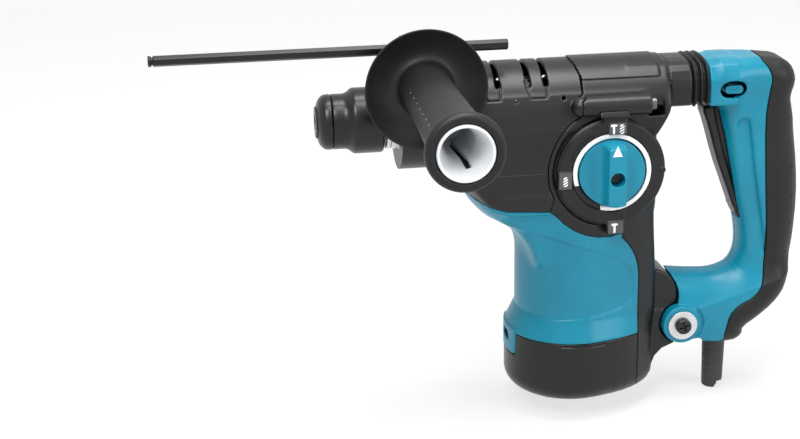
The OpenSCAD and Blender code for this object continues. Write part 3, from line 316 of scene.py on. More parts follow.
def smax(a, b, k):
    h = np.maximum(k - abs(a - b), 0.0) / k
    return np.maximum(a, b) + h * h * k * 0.25


def cut(a, b, k=0.8):
    """a without b."""
    return smax(a, -b, k)


def least(fields):
    """All of several shapes."""
    return functools.reduce(np.minimum, fields)


def to_side(a, b, U, V):
    """Squared distance to the straight side from a to b, and whether a point lies to its left."""
    ex, ey = b[0] - a[0], b[1] - a[1]
    wx, wy = U - a[0], V - a[1]
    t = np.clip((wx * ex + wy * ey) / (ex * ex + ey * ey + 1e-12), 0, 1)
    return (wx - ex * t) ** 2 + (wy - ey * t) ** 2, ex * wy > ey * wx


def poly(pts, U, V):
    """Signed distance to a closed outline in the plane of U and V."""
    p = np.asarray(pts, float)
    best, flip = np.inf, False
    for a, b in zip(p, np.roll(p, 1, axis=0)):
        d, left = to_side(a, b, U, V)
        best = np.minimum(best, d)
        above, below = V >= a[1], V < b[1]
        flip = flip ^ ((above & below & left) | (~above & ~below & ~left))
    d = np.sqrt(best)
    return np.where(flip, -d, d)


def lines(pts, U, V, width):
    """Distance to an open line of the given half width."""
    return np.sqrt(least(to_side(a, b, U, V)[0] for a, b in zip(pts[:-1], pts[1:]))) - width


def smooth_line(pts, rounds=1):
    """Corner-cutting of a closed outline, so that it runs in curves."""
    p = np.asarray(pts, float)
    for _ in range(rounds):
        b = np.roll(p, -1, axis=0)
        q = np.empty((2 * len(p), 2))
        q[0::2], q[1::2] = 0.75 * p + 0.25 * b, 0.25 * p + 0.75 * b
        p = q
    return p


def mirrored(half, side=0):
    """An outline from its half on one side of the middle of its first (0) or second (1) coordinate."""
    return half + [(-a, b) if side == 0 else (a, -b) for a, b in half[::-1]]


def dist(a, b):
    return np.sqrt(a * a + b * b)


def edge(a, b, r):
    """Where two fields meet, an edge rounded by r."""
    a, b = a + r, b + r
    return dist(np.maximum(a, 0), np.maximum(b, 0)) + np.minimum(np.maximum(a, b), 0) - r


def slab(d2, w, h, r):
    """An outline's field d2 made a plate of half width h over w, with edges rounded by r."""
    return edge(d2, abs(w) - h, r)


def rod(U, V, W, u, v, r, w0, w1, e=0.6):
    """A cylinder along W with rounded ends."""
    return slab(dist(U - u, V - v) - r, W - (w0 + w1) / 2, (w1 - w0) / 2, e)


def block(X, Y, Z, lo, hi, r=0.6):
    q = [abs(c - (a + b) / 2) - (b - a) / 2 + r for c, a, b in zip((X, Y, Z), lo, hi)]
    out = np.sqrt(np.maximum(q[0], 0) ** 2 + np.maximum(q[1], 0) ** 2 + np.maximum(q[2], 0) ** 2)
    return out + np.minimum(np.maximum(np.maximum(q[0], q[1]), q[2]), 0) - r


def mesh_of(field, lo, hi, step):
    """Vertices and quads of the surface where the field is zero (surface nets, then a pull onto it)."""
    n = [int(math.ceil((b - a) / step)) + 1 for a, b in zip(lo, hi)]
    ax = [a + step * np.arange(m) for a, m in zip(lo, n)]
    v = np.asarray(field(ax[0][:, None, None], ax[1][None, :, None], ax[2][None, None, :]), np.float32)
    v = np.broadcast_to(v, n)
    ins = v < 0
    corner = [(i, j, k) for i in (0, 1) for j in (0, 1) for k in (0, 1)]
    part = {c: tuple(slice(o, o + m - 1) for o, m in zip(c, n)) for c in corner}
    count = sum(ins[part[c]].astype(np.int8) for c in corner)
    live = (count > 0) & (count < 8)
    cell = np.full(live.shape, -1, np.int64)
    cell[live] = np.arange(int(live.sum()))
    base = np.argwhere(live)
    acc, hits = np.zeros((len(base), 3)), np.zeros(len(base))
    vals = {c: v[part[c]][live] for c in corner}
    for c in corner:
        for d in range(3):
            if c[d]:
                continue
            e = tuple(1 if i == d else c[i] for i in range(3))
            va, vb = vals[c], vals[e]
            m = (va < 0) != (vb < 0)
            t = va[m] / (va[m] - vb[m])
            p = np.tile(np.array(c, float), (len(t), 1))
            p[:, d] = t
            acc[m] += p
            hits[m] += 1
    pts = np.array(lo) + step * (base + acc / hits[:, None])
    faces = []
    for d in range(3):
        a, b = (d + 1) % 3, (d + 2) % 3
        s0, s1 = [slice(1, m - 1) for m in n], [slice(1, m - 1) for m in n]
        s0[d], s1[d] = slice(0, n[d] - 1), slice(1, n[d])
        i0, i1 = ins[tuple(s0)], ins[tuple(s1)]
        hit = np.argwhere(i0 != i1)
        if not len(hit):
            continue
        goes_out = i0[tuple(hit.T)]
        quad = []
        for da, db in ((0, 0), (1, 0), (1, 1), (0, 1)):
            q = hit.copy()
            q[:, a] += da
            q[:, b] += db
            quad.append(cell[tuple(q.T)])
        quad = np.stack(quad, 1)
        quad[~goes_out] = quad[~goes_out][:, ::-1]
        faces.append(quad)
    faces = np.vstack(faces)
    h = 0.02
    for _ in range(3):
        x, y, z = pts.T
        f0 = field(x, y, z)
        g = np.stack([field(x + h, y, z) - f0, field(x, y + h, z) - f0, field(x, y, z + h) - f0], 1) / h
        move = -f0[:, None] * g / np.maximum((g * g).sum(1), 0.25)[:, None]
        size = np.linalg.norm(move, axis=1, keepdims=True)
        pts = pts + move * np.minimum(1, 0.6 * step / np.maximum(size, 1e-9))
    return pts, faces


def new_object(name, pts, faces, look):
    """A smooth object from arrays of vertices in millimetres and faces that all have as many sides."""
    me = bpy.data.meshes.new(name)
    pts, faces = np.asarray(pts, np.float32) * MM, np.asarray(faces, np.int32)
    me.vertices.add(len(pts))
    me.vertices.foreach_set("co", pts.ravel())
    sides = faces.shape[1]
    me.loops.add(faces.size)
    me.loops.foreach_set("vertex_index", faces.ravel())
    me.polygons.add(len(faces))
    me.polygons.foreach_set("loop_start", np.arange(0, faces.size, sides, dtype=np.int32))
    me.update(calc_edges=True)
    me.validate()
    return link_mesh(name, me, look, smooth=True)


def piece(name, field, lo, hi, look, body, replaces, step):
    """A carved piece: its surface, its look, the body it rides on and the CAD nodes it stands for."""
    pts, faces = mesh_of(field, lo, hi, step * (1.0))
    return settle(new_object(name, pts, faces, look), body, replaces)


SHOWN = []
REPLACED = set()


def settle(ob, body, replaces=()):
    """Hangs the piece on the body it rides on (if any) and hides the CAD nodes it stands for."""
    if body:
        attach(ob, body)
    if replaces:
        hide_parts(*replaces)
    REPLACED.update(replaces)
    SHOWN.append(ob)
    return ob


# ------------------------------------------------------------------ main casing
KNOB_X, KNOB_Z = 186.6, -32.2
CASING_X, MOTOR_R, BASE_X, BASE_R = 169.5, 38.4, 169.0, 43.8
BASE_Z, BASE_TOP, BASE_ROUND = -194.0, -150.0, 13.0
CASE_R, CASE_X0, CASE_X1, COVER_X2 = 34.5, 84.0, 222.0, 228.0
SPLIT_X, REAR_X, SEAM_Z = 163.6, 210.0, -57.0
ARM_X, ARM_Z, ARM_R = 221.0, -131.0, 20.5
PIVOT_X, PIVOT_Z = 243.7, -150.4
TUBE_Y, TUBE_Z, TUBE_R = 38.0, 11.0, 6.5
WALL, GAP = 2.8, 0.13


def arc(cx, cy, r, a0, a1, n):
    return [(cx + r * math.cos(math.radians(a0 + (a1 - a0) * i / n)),
             cy + r * math.sin(math.radians(a0 + (a1 - a0) * i / n))) for i in range(n + 1)]


CASE_OUTLINE = smooth_line(mirrored([(-28, 20), (-33.4, 5), (-38, -8), (-38, -40), (-38, -66)]))
NECK_OUTLINE = smooth_line(mirrored([(-20, 3), (-23.2, 4.8), (-24, 7), (-24, 19), (-19.5, 29), (-10, 32.5)]))
MOTOR_PLAN = smooth_line(mirrored([(CASING_X, -MOTOR_R), (188, -35.6), (205, -30.6), (218, -24), (222.6, -19),
                                   (222.6, -11)], 1))
BASE_PLAN = smooth_line(mirrored([(BASE_X, -BASE_R), (190, -40.2), (207, -33.4), (218, -25), (223.8, -18),
                                  (223.8, -9)], 1))
# radius of the nose's cone at each X, with its corners averaged over 16 mm
NOSE_X = np.arange(80.0, 330.0, 0.5)
NOSE_RAW = np.interp(np.arange(72.0, 338.0, 0.5), [84, 96, 109, 121, 130, 140, 160],
    [26, 51.5, 66, 75, 82, 100, 300])
AVERAGE = np.hanning(33) / np.hanning(33).sum()
NOSE_R = np.convolve(NOSE_RAW, AVERAGE, "valid")[:len(NOSE_X)]


def ease(x, a, b):
    t = np.clip((x - a) / (b - a), 0, 1)
    return t * t * (3 - 2 * t)


def casing(X, Y, Z, ledge=0.0):
    turn = dist(Y, Z)
    nose = (turn - np.interp(X, NOSE_X, NOSE_R)) * 0.55
    prism = poly(CASE_OUTLINE, Y, Z) - ledge
    # the flanks run in towards the rear wall
    flank = (abs(Y) - 38) * 0.75 + (X - 204) * 0.66
    prism = smax(smax(prism, flank, 6), X - CASE_X1, 3)
    # the round top's lower rear edge slopes forwards
    slope = (X - 227.3) * 0.888 - (Z - 4.2) * 0.46
    case = smin(prism, smax(smax(turn - CASE_R, X - COVER_X2, 2.5), slope, 2.5), 4)
    case = smax(smax(case, CASE_X0 - X, 1.5), nose, 5)
    neck = smax(poly(NECK_OUTLINE, Y, Z), abs(X - 223) - 21, 1.2)
    throat = smax(block(X, Y, Z, (92, -34.5, -100), (176, 34.5, -50), 9), nose, 8)
    rear = 2.2 * ease(-Z, 66, 118) * ease(X, 200, 216)
    motor = smin(dist(X - CASING_X, Y) - MOTOR_R, poly(MOTOR_PLAN, X - rear, Y), 1.5)
    base = smin(dist(X - BASE_X, Y) - BASE_R, poly(BASE_PLAN, X, Y), 1.5)
    flare = np.clip((-136.2 - Z) / 12.6, 0, 1)
    column = motor * (1 - flare) + base * flare
    column = smax(edge(column, BASE_Z - Z, BASE_ROUND), Z + 52, 1)
    out = smin(smin(case, neck, 1.5), smin(column, throat, 6), 3)
    bulge = slab(dist(X - ARM_X, Z - ARM_Z) - ARM_R, Y, 15.4 + 2.4 * flare, 2)
    return smin(out, bulge, 2)


AROUND_KNOB = arc(KNOB_X, KNOB_Z, 41, 118, 205, 8)
UNDER_KNOB = arc(KNOB_X, KNOB_Z, 46, 218, 283, 6)
TEAL_CORNER = arc(REAR_X - 40, -110, 40, 48, 0, 5)
FRONT_BOTTOM = [(147, SEAM_Z - 1), (119, SEAM_Z + 1), (106, SEAM_Z + 5), (94, SEAM_Z + 10), (80, SEAM_Z + 17)]
JOINT = [(SPLIT_X + u, z) for u, z in ((1.6, 60), (2.2, 35), (4.1, 33), (4.9, 30.2), (6, 27), (6.3, 22.5),
    (5.7, 16.9), (3.0, 15.6), (2.6, 10))]
FRONT_REGION = [(80, 60)] + FRONT_BOTTOM[::-1] + AROUND_KNOB[::-1] + JOINT[::-1]
MOTOR_REGION = FRONT_BOTTOM + [(80, BASE_TOP), (REAR_X, BASE_TOP)] + TEAL_CORNER[::-1] + UNDER_KNOB[::-1]
REAR_REGION = (JOINT + AROUND_KNOB + [FRONT_BOTTOM[0]] + UNDER_KNOB + TEAL_CORNER
               + [(REAR_X, BASE_Z - 10), (300, BASE_Z - 10), (300, 60)])
BASE_REGION = [(80, BASE_Z - 10), (REAR_X, BASE_Z - 10), (REAR_X, BASE_TOP), (80, BASE_TOP)]
VENT_X = (115.2, 135.2, 146.5)
PAD_LINES = ([(133.2, 25.5), (135.8, 16.2), (146.0, 16.2), (147.6, 25.5)],
             [(105.5, 25.5), (107.3, 15.8), (115.8, 15.8), (117.2, 25.5)])
FRONT_HOLES = ((125.7, 15.2), (156.8, 15.6))
MOTOR_X, SCREW_RING = 168, 32.4


def hollow(shape, region):
    """The part of a shape's wall that lies in a region."""
    return smax(smax(shape, region, 0.5), -(shape + WALL), 0.4)


LUG = smooth_line([(ARM_X - 3, BASE_Z + 14), (PIVOT_X - 3, BASE_Z + 29), (PIVOT_X + 7, PIVOT_Z - 8),
                   (PIVOT_X + 9.5, PIVOT_Z + 4), (ARM_X + 12, ARM_Z + 12), (ARM_X - 3, ARM_Z + 12)])
WEB = [(214, -186), (223.6, -186), (224.1, -180.7), (226.7, -174.2), (231.5, -169), (240, -165.4), (238, -152),
    (231, -140), (214, -140)]


def screw_bosses(X, Y, Z, r, z0, z1):
    """Upright rods at the places of the base's four screws."""
    ways = [(math.cos(math.radians(a)), math.sin(math.radians(a))) for a in (62, 123, 237, 298)]
    return least(rod(X, Y, Z, MOTOR_X + SCREW_RING * u, SCREW_RING * v, r, z0, z1) for u, v in ways)


def front_field(X, Y, Z):
    # the lower edge swells outwards to meet the teal throat
    swell = 1.5 * ease(-Z, 43, 49.5) - 0.9 * ease(-Z, 52, 57)
    case = casing(X, Y, Z, swell)
    side = abs(Y)
    region = poly(FRONT_REGION, X, Z) + GAP
    body = hollow(case, region)
    tube = rod(side, Z, X, TUBE_Y, TUBE_Z, TUBE_R, SPLIT_X - 3.6, SPLIT_X + 12, 6.2)
    body = smin(body, smax(smax(tube, region, 0.5), -(case + WALL), 0.4), 1.6)
    for x in VENT_X:
        body = cut(body, slab(abs(X - x) - 1.6, Z - 40, 17.6, 1.3) + 0.0 * Y, 0.7)
    for pts in PAD_LINES:
        groove = lines(pts, X, Z, 0.45)
        body = cut(body, smax(groove, -(case + 0.7), 0.4), 0.5)
    for x, z in FRONT_HOLES:
        body = cut(body, smax(dist(X - x, Z - z) - 1.25, 20 - side, 0.3), 0.5)
    mouth = dist(Y, Z)
    body = cut(body, smax(mouth - 20.7, X - 100, 0.5), 0.8)
    rim = smax(abs(mouth - 23) - 1.2, abs(X - 84) - 0.8, 0.3)
    return smin(body, rim, 0.8)


def around(X, Z):
    """Distance from the axis of the mode knob."""
    return dist(X - KNOB_X, Z - KNOB_Z)


def from_pivot(X, Z):
    """Distance from the axis that the rear handle turns on."""
    return dist(X - PIVOT_X, Z - PIVOT_Z)


def rear_field(X, Y, Z):
    case = casing(X, Y, Z)
    side = abs(Y)
    region = poly(REAR_REGION, X, Z) + GAP
    # raised pad on the roof
    pad = slab(poly(mirrored([(150, -40), (214, -40), (222, -22)], 1), X, Y), Z - 60, 34.5, 0.5)
    body = hollow(smin(case, smax(smax(pad, case - 0.9, 0.4), 20 - Z, 2), 0.6), region)
    tube = rod(side, Z, X, TUBE_Y, TUBE_Z, TUBE_R, SPLIT_X - 4, 212, 0.8)
    tube = cut(tube, rod(side, Z, X, TUBE_Y, TUBE_Z, 4.4, 208.5, 216), 0.4)
    body = smin(body, smax(smax(tube, region, 0.4), -(case + WALL), 0.4), 1.4)
    pocket = block(X, side, Z, (212, 31.5, 1.6), (222.6, 50, 17.4), 1.2)
    body = cut(body, pocket, 1.0)
    # moat round the mode selector and its seat
    knob = around(X, Z)
    moat = smax(abs(knob - 36.3) - 1.3, Y + 36.6, 0.6)
    body = cut(body, moat, 0.8)
    body = cut(body, smax(knob - 34.5, Y + 36.2, 0.4), 0.5)
    # joint line behind the roof
    seam = smax(abs(X - (COVER_X2 + 1.2)) - 0.45, -(case + 0.8), 0.3)
    body = cut(body, smax(seam, 2 - Z, 0.3), 0.4)
    # lug of the handle's pivot, and the handle's room beside it
    body = smin(body, slab(poly(LUG, X, Z), Y, 13.4, 0.8), 1.0)
    body = smin(body, slab(poly(WEB, X, Z), Y, 17, 1.5), 1.5)
    room = smax(from_pivot(X, Z) - 14.3, 14.0 - side, 0.4)
    body = cut(body, room, 0.6)
    return cut(body, from_pivot(X, Z) - 6.15, 0.3)


CREASE = smooth_line([(95, -63), (112, -66), (131, -71), (155, -78.5), (189.8, -91.5), (202, -99),
    (206.4, -108), (207.6, -136), (60, -136), (60, -66)], 2)


def motor_field(X, Y, Z):
    case = casing(X, Y, Z)
    below = poly(CREASE, X, Z)
    drop = 1.1 * ease(-below, -0.4, 1.4) * ease(-Z, 60, 76)
    solid = case + drop
    region = poly(MOTOR_REGION, X, Z) + GAP
    body = hollow(solid, region)
    body = smin(body, smax(screw_bosses(X, Y, Z, 5, BASE_TOP, BASE_TOP + 11), solid + 1.2, 0.5), 1)
    # clip plate on the front of the base, with its latch slot
    turn = dist(X - BASE_X, Y) - BASE_R
    skirt = smax(turn - 0.35, -(turn + 1.6), 0.3)
    plate = poly(mirrored([(-17.5, BASE_TOP + 3), (-16, BASE_TOP - 15.5)]), Y, Z)
    plate = smax(smax(skirt, plate, 0.5), X - BASE_X, 0.5)
    body = smin(body, plate, 0.8)
    slot = block(X, Y, Z, (60, -8, BASE_TOP - 8.5), (BASE_X, 8, BASE_TOP - 1.5), 1)
    return cut(body, slot, 0.6)


def base_field(X, Y, Z):
    case = casing(X, Y, Z)
    body = hollow(case, poly(BASE_REGION, X, Z) + GAP)
    body = smin(body, smax(screw_bosses(X, Y, Z, 5, BASE_Z + 2.6, BASE_TOP - 0.3), case + 1.2, 0.5), 1)
    body = smin(body, rod(X, Y, Z, MOTOR_X, 0, 15, BASE_Z + 2, BASE_Z + 21), 1)
    body = cut(body, rod(X, Y, Z, MOTOR_X, 0, 11.1, BASE_Z + 12.6, BASE_Z + 24), 0.3)
    seat = poly(mirrored([(-18.2, BASE_TOP + 3), (-16.7, BASE_TOP - 16.2)]), Y, Z)
    ring = -(dist(X - BASE_X, Y) - BASE_R + 1.9)
    body = cut(body, smax(smax(seat, ring, 0.3), X - BASE_X, 0.3), 0.4)
    # finger lip near the joint on each side, and the screw holes
    lip = smax(abs(Z - (BASE_TOP - 2.0)) - 0.55, abs(X - 170) - 16, 0.6)
    body = cut(body, smax(smax(lip, -(case + 0.9), 0.3), 20 - abs(Y), 0.5), 0.4)
    body = cut(body, screw_bosses(X, Y, Z, 4, BASE_Z - 3, BASE_Z + 4), 0.5)
    return body


# ------------------------------------------------------------------ rear handle
BACK, TOP_Z, CORD_X, CORD_Z = 325.5, 31.5, 273.5, -167.0
HANDLE_LINE = [(PIVOT_X - 3, -163.8), (PIVOT_X + 12, -161.5)]
HANDLE_LINE += [(CORD_X + u, z) for u, z in (
    (-14.5, -164.5), (-12.2, -168), (-9, -169.2), (8.6, -169.4), (14.2, -166.6), (16.9, -163), (16.9, -159.2))]
HANDLE_LINE += [(BACK - u, z) for u, z in ((25.4, -152.7), (14.8, -143.7), (8.4, -135.2), (5.9, -128.3),
    (4.3, -119.5), (2.7, -109), (1.1, -93), (0, -68), (1.5, -45), (5.8, -15), (10, 0), (10, 5), (7.4, 13.5),
    (8.2, 19.5), (11.4, 25.6), (18, 29.6), (28, 30.6), (35, TOP_Z))]
HANDLE_LINE += [(285, TOP_Z), (256, TOP_Z), (256, 3), (266, 1.6), (269.5, -20), (275.5, -48), (280.5, -71.5),
    (283.2, -80), (285.1, -90), (285.8, -100), (284.4, -108), (281, -114), (275, -117), (268, -118.4),
    (262, -118.4), (249, -117.4), (237.5, -115.9), (226, -115.4), (221, -131), (229, -143), (236, -148)]
CREASE_A, CREASE_B = (254.7, -140.1), (298.0, -126.5)
CREASE_N = (-0.2997, 0.9540)
SKIN_LINE = smooth_line([(291, 60), (292.2, 31), (297, 25), (299.4, 18), (297.5, 8), (295.7, -10), (298, -50),
    (301, -93), (301, -118), (298.6, -127), (294, -134), (282.6, -139.6), (277.2, -146), (274.6, -157),
    (273.6, -163), (273, -175), (340, -175), (340, 60)])
HANDLE_OUT = smooth_line(HANDLE_LINE)
EAR_R = 13.3
PLATE = [(CREASE_A[0] - 16, CREASE_A[1] - 5), CREASE_A, CREASE_B, (293.7, -134.4), (282.4, -139.6),
    (276.9, -145.9), (274.2, -157), (273.4, -163.5), (270, -164.8), (261, -163.4), (257.9, -161),
    (244.6, -163.6), (236, -160)]
# room for the lug of the casing, between the handle's two arms
ROOM_WIDE = 14.3
LUG_ROOM = [(ARM_X, BASE_Z + 12), (PIVOT_X + 2, BASE_Z + 24), (PIVOT_X + 14, PIVOT_Z - 2),
    (PIVOT_X + 14, PIVOT_Z + 3), (PIVOT_X + 6, PIVOT_Z + 13.5), (ARM_X + 12, ARM_Z + 16), (ARM_X, ARM_Z + 16)]
HANDLE_SCREWS, SCREW_WELL_R = ((286.5, 22.5), (308, -12), (309, -106), (256, -128)), 4.0
LOCK_LINE = [(269.7, 12.5), (276.3, 12.5)]
BROW = smooth_line([(262, 13), (266, 18.6), (276, 19), (284, 15.5), (289, 13.6), (283, 9), (266, 7.4)])


def handle_solid(X, Y, Z):
    d = poly(HANDLE_OUT, X, Z)
    wide = 19.6 + 4.2 * ease(Z, 6, 14) * ease(-X, -300, -275)
    # the lower arm is narrow at its top and flares out to the crease above the plate
    above = (Z - CREASE_A[1]) * CREASE_N[1] + (X - CREASE_A[0]) * CREASE_N[0]
    flared = 16.3 + 5.5 * (1 - np.clip(above / 15, 0, 1)) ** 2
    low = ease(-Z, 92, 112)
    wide = wide * (1 - low) + flared * low
    soft = 12.0 + 6.0 * ease(-Z, 0, 25) - 3.0 * low
    body = edge(d, abs(Y) - wide, soft)
    # square end towards the bellows
    end = slab(poly(mirrored([(-23.6, 3), (-23.6, 20), (-19, 28.4), (-10, TOP_Z)]), Y, Z), X - 266, 9.9, 1.0)
    body = smin(body, end, 3)
    boss = from_pivot(X, Z)
    ear = slab(boss - EAR_R, abs(Y) - 11, 11, 1.2)
    body = smin(body, slab(poly(PLATE, X, Z), abs(Y) - 11, 10.6, 0.6), 0.8)
    # groove round the pivot boss
    body = cut(body, smax(smax(abs(boss - EAR_R - 1.1) - 0.9, 20.6 - abs(Y), 0.4), 236 - X, 0.4), 0.5)
    body = smin(body, ear, 0.8)
    # valley down each flank behind the trigger
    valley = lines([(282, -12), (287, -45), (292.5, -76), (297, -100)], X, Z, 3.2)
    dip = smax(valley, 15.6 - abs(Y), 2.5)
    return cut(body, dip, 5.0)


def cord_hole(X, Y, Z):
    return rod(X, Y, Z, CORD_X, 0, 8.2, CORD_Z - 6, CORD_Z + 12)


def handle_cuts(body, X, Y, Z):
    """Room for the trigger, the lug, the pivot, the cord guard and the casing's bulge."""
    side = abs(Y)
    slot = block(X, Y, Z, (240, -9.5, -80), (290, 9.5, 8), 0.8)
    body = cut(body, slot, 0.6)
    boss = from_pivot(X, Z)
    room = slab(boss - 13.5, Y, ROOM_WIDE, 0.5)
    arm = slab(poly(LUG_ROOM, X, Z), Y, ROOM_WIDE, 0.5)
    body = cut(body, np.minimum(room, arm), 0.6)
    body = cut(body, boss - 4.1, 0.3)
    body = cut(body, cord_hole(X, Y, Z), 0.4)
    bulge = smax(dist(X - ARM_X, Z - ARM_Z) - ARM_R - 0.9, side - 24, 0.3)
    return cut(body, smax(bulge, smin(EAR_R + 0.15 - boss, side - ROOM_WIDE, 0.1), 0.2), 0.4)


def handle_half(sign):
    """One half of the handle: -1 on the side of the mode knob, with the lock button's recess, or 1."""
    def field(X, Y, Z):
        d = handle_solid(X, Y, Z)
        skin = poly(SKIN_LINE, X, Z)
        body = smax(d, -(skin - 0.15), 0.5)
        core = smax(d + 2.6, skin - 0.1, 0.4)
        body = smin(smax(body, -(d + 2.6), 0.4), smax(core, -(d + 5.2), 0.3), 0.4)
        for x, z in HANDLE_SCREWS:
            body = smin(body, smax(rod(X, Z, Y, x, z, 4.5, -30, 30), d + 2.5, 0.4), 0.6)
        body = handle_cuts(body, X, Y, Z)
        for x, z in HANDLE_SCREWS:
            body = cut(body, rod(X, Z, Y, x, z, SCREW_WELL_R, 14.5, 40), 0.4)
            body = cut(body, rod(X, Z, Y, x, z, 2.0, -11.5, 40), 0.2)
        if sign < 0:
            oval = slab(lines([(268.6, 12.9), (275.8, 12.6)], X, Z, 5.2), Y + 30, 12.4, 1.2)
            brow = slab(poly(BROW, X, Z), Y + 32, 10.2, 1.5)
            body = cut(cut(body, brow, 1.6), oval, 0.7)
            body = cut(body, slab(lines(LOCK_LINE, X, Z, 3.3), Y, 30, 0.1), 0.2)
        return smax(body, sign * -Y + 0.06, 0.3)
    return field


def skin_field(X, Y, Z):
    d = handle_solid(X, Y, Z)
    skin = poly(SKIN_LINE, X, Z)
    body = smax(smax(d - 0.25, skin + 0.2, 0.8), -(d + 2.3), 0.4)
    body = cut(body, cord_hole(X, Y, Z), 0.4)
    for x, z in HANDLE_SCREWS[1:3]:
        body = cut(body, rod(X, Z, Y, x, z, SCREW_WELL_R, 8, 40), 0.4)
    return body


SKIN_PIPS = ((309.9, -4.9), (315.8, -25.2), (317.8, -44.8), (318.8, -65), (318.6, -84.3), (317.1, -104.7),
    (306.1, -94.3))


def pip_field(X, Y, Z):
    out = least(dist(X - x, Z - z) - 0.85 for x, z in SKIN_PIPS)
    solid = handle_solid(X, Y, Z)
    out = smax(out, 8 - abs(Y), 0.2)
    return smax(smax(out, solid - 0.65, 0.3), -(solid + 0.9), 0.2)


TRIGGER_LINE = smooth_line([(286, -81), (288.6, -77.5), (288.6, -70), (285, -48), (279, -20), (274, -2),
    (266, 0.8), (258.6, -1), (256.4, -3.4), (260.8, -15), (267.4, -38), (274.8, -57.5), (279, -69),
    (283, -79.6)])
TRIGGER_FLANK = [(262.5, 6), (266, -12), (272.5, -36), (280, -58), (286, -76), (300, -76), (300, 6)]


def trigger_field(X, Y, Z):
    d = poly(TRIGGER_LINE, X, Z)
    body = slab(d, Y, 9, 3.0)
    # the finger face stands proud of the flanks
    body = cut(body, smax(poly(TRIGGER_FLANK, X, Z), 8.0 - abs(Y), 0.6), 1.4)
    pin = rod(X, Z, Y, 283.6, -72.5, 3, -9.2, 9.2)
    body = smin(body, pin, 0.4)
    return smax(body, -smax(d + 2.2, smax(abs(Y) - 6.8, 266 - X, 0.5), 0.5), 0.5)


def bellows_field(X, Y, Z):
    d = poly(NECK_OUTLINE, Y, Z)
    wave = 1.5 * np.cos((X - 246.0) * 2 * math.pi / 4.2)
    out = d - 0.9 + 1.5 - wave
    out = smax(out, abs(X - 250) - 5.85, 0.6)
    return smax(out, -(d + 3.9), 0.5)


def lock_field(X, Y, Z):
    pad = slab(lines(LOCK_LINE, X, Z, 3.0), Y + 16.5, 4.3, 0.9)
    arrow = lines([(269.5, 12.5), (275.6, 12.5), (275.6, 13.8), (277.4, 12.3)], X, Z, 0.28)
    return cut(pad, smax(arrow, Y + 20.4, 0.2), 0.2)


# ------------------------------------------------------------------ mode selector
KNOB_Y, BAR_H, KNOB_R = -43.1, 13.0, 21.8
SCREW_DX, SCREW_DZ = 0.4, -1.2
ARC_R, BEZEL_MID = 24.3, -37.0
# plates for the marks: middle from the knob's axis, half width and half height
LABELS = ((3.0, 29.2, 6.4, 4.7), (-30.6, -4.3, 4.9, 6.0), (3.1, -37.0, 5.8, 5.2))
TAB = smooth_line([(-3.8, 26), (-4.2, 33.5), (-9.4, 37.5), (-9.2, 41), (-5.4, 44.4), (6.4, 44.4), (9.6, 41),
    (10, 37.5), (9.8, 33.5), (9.6, 26)])


def bezel_field(X, Y, Z):
    r = around(X, Z)
    x, z = X - KNOB_X, Z - KNOB_Z
    body = slab(r - 35.7, Y - BEZEL_MID, 3.4, 1.2)
    body = smin(body, slab(r - 32.6, Y - BEZEL_MID, 4.4, 1.0), 0.8)
    body = smin(body, slab(abs(r - 33.4) - 1.0, Y - BEZEL_MID, 4.5, 0.8), 0.8)
    # stepped collar between the left and the top tab
    ang = np.arctan2(z, -x)
    step = smax(slab(abs(r - 30.6) - 2.0, Y - BEZEL_MID, 5.0, 0.6), np.maximum(0.32 - ang, ang - 1.1) * 30, 0.5)
    body = smin(body, step, 0.5)
    for dx, dz, hx, hz in LABELS:
        plate = slab(np.maximum(abs(x - dx) - hx, abs(z - dz) - hz), Y + 38, 4.7, 1.0)
        body = smin(body, plate, 0.7)
    cap = 3.9 + 3.9 * ease(z, 35.6, 37.4) * (1 - ease(z, 37.6, 45))
    body = smin(body, slab(poly(TAB, x, z), Y + 38.4, cap, 1.0), 1.2)
    foot = slab(np.maximum(abs(x - 2.8) - 6.6, abs(z + 31) - 4.5), Y + 38, 4.1, 0.8)
    body = smin(body, foot, 0.8)
    body = cut(body, smax(abs(r - ARC_R) - 2.0, Y + 40.3, 0.3), 0.4)
    body = cut(body, r - 22.4, 0.3)
    mark = dist(x - 33.8, z + 0.4) - 1.9
    body = smin(body, slab(mark, Y + 40, 2.1, 0.6), 0.5)
    tube = dist(abs(Y) - TUBE_Y, Z - TUBE_Z) - TUBE_R - 0.1
    return smax(cut(body, smax(tube, Y + 34, 0.1), 0.4), 0.0 * X + 0.0 * Z + Y + 34.6, 0.4)


def label_field(X, Y, Z):
    x, z = X - KNOB_X, Z - KNOB_Z
    return least(slab(np.maximum(abs(x - dx) - hx, abs(z - dz) - hz) + 0.7, Y + 42.2, 0.8, 0.35)
                 for dx, dz, hx, hz in LABELS)


def arc_field(X, Y, Z):
    r = dist(X - KNOB_X - 0.3, Z - KNOB_Z + 0.35)
    ring = slab(abs(r - ARC_R) - 1.45, Y + 40.8, 0.75, 0.3)
    return smax(ring, -smax(X - KNOB_X + 7 + 0.0 * Z, Z - KNOB_Z + 8 + 0.0 * X, 0.2), 0.2)


def knob_field(X, Y, Z):
    r = around(X, Z)
    x = X - KNOB_X
    disc = slab(r - KNOB_R, Y + 41.0, 2.4 - 0.6 * ease(r, 12, 0), 0.7)
    front = KNOB_Y - BAR_H
    depth = np.clip((Y - front) / BAR_H, 0, 1)
    bar = abs(x - 0.3) - (5.9 + 2.6 * depth ** 2)
    bar = slab(smax(bar, r - KNOB_R + 0.3 + 2.0 * (1 - depth), 1.0), Y - (front + 8), 8.0, 0.9)
    body = smin(disc, bar, 5.0)
    body = smax(body, r - KNOB_R, 0.3)
    hole = dist(x - SCREW_DX, Z - KNOB_Z - SCREW_DZ)
    body = cut(body, smax(hole - 4.7, Y - front - 8.0, 0.3), 0.5)
    return body


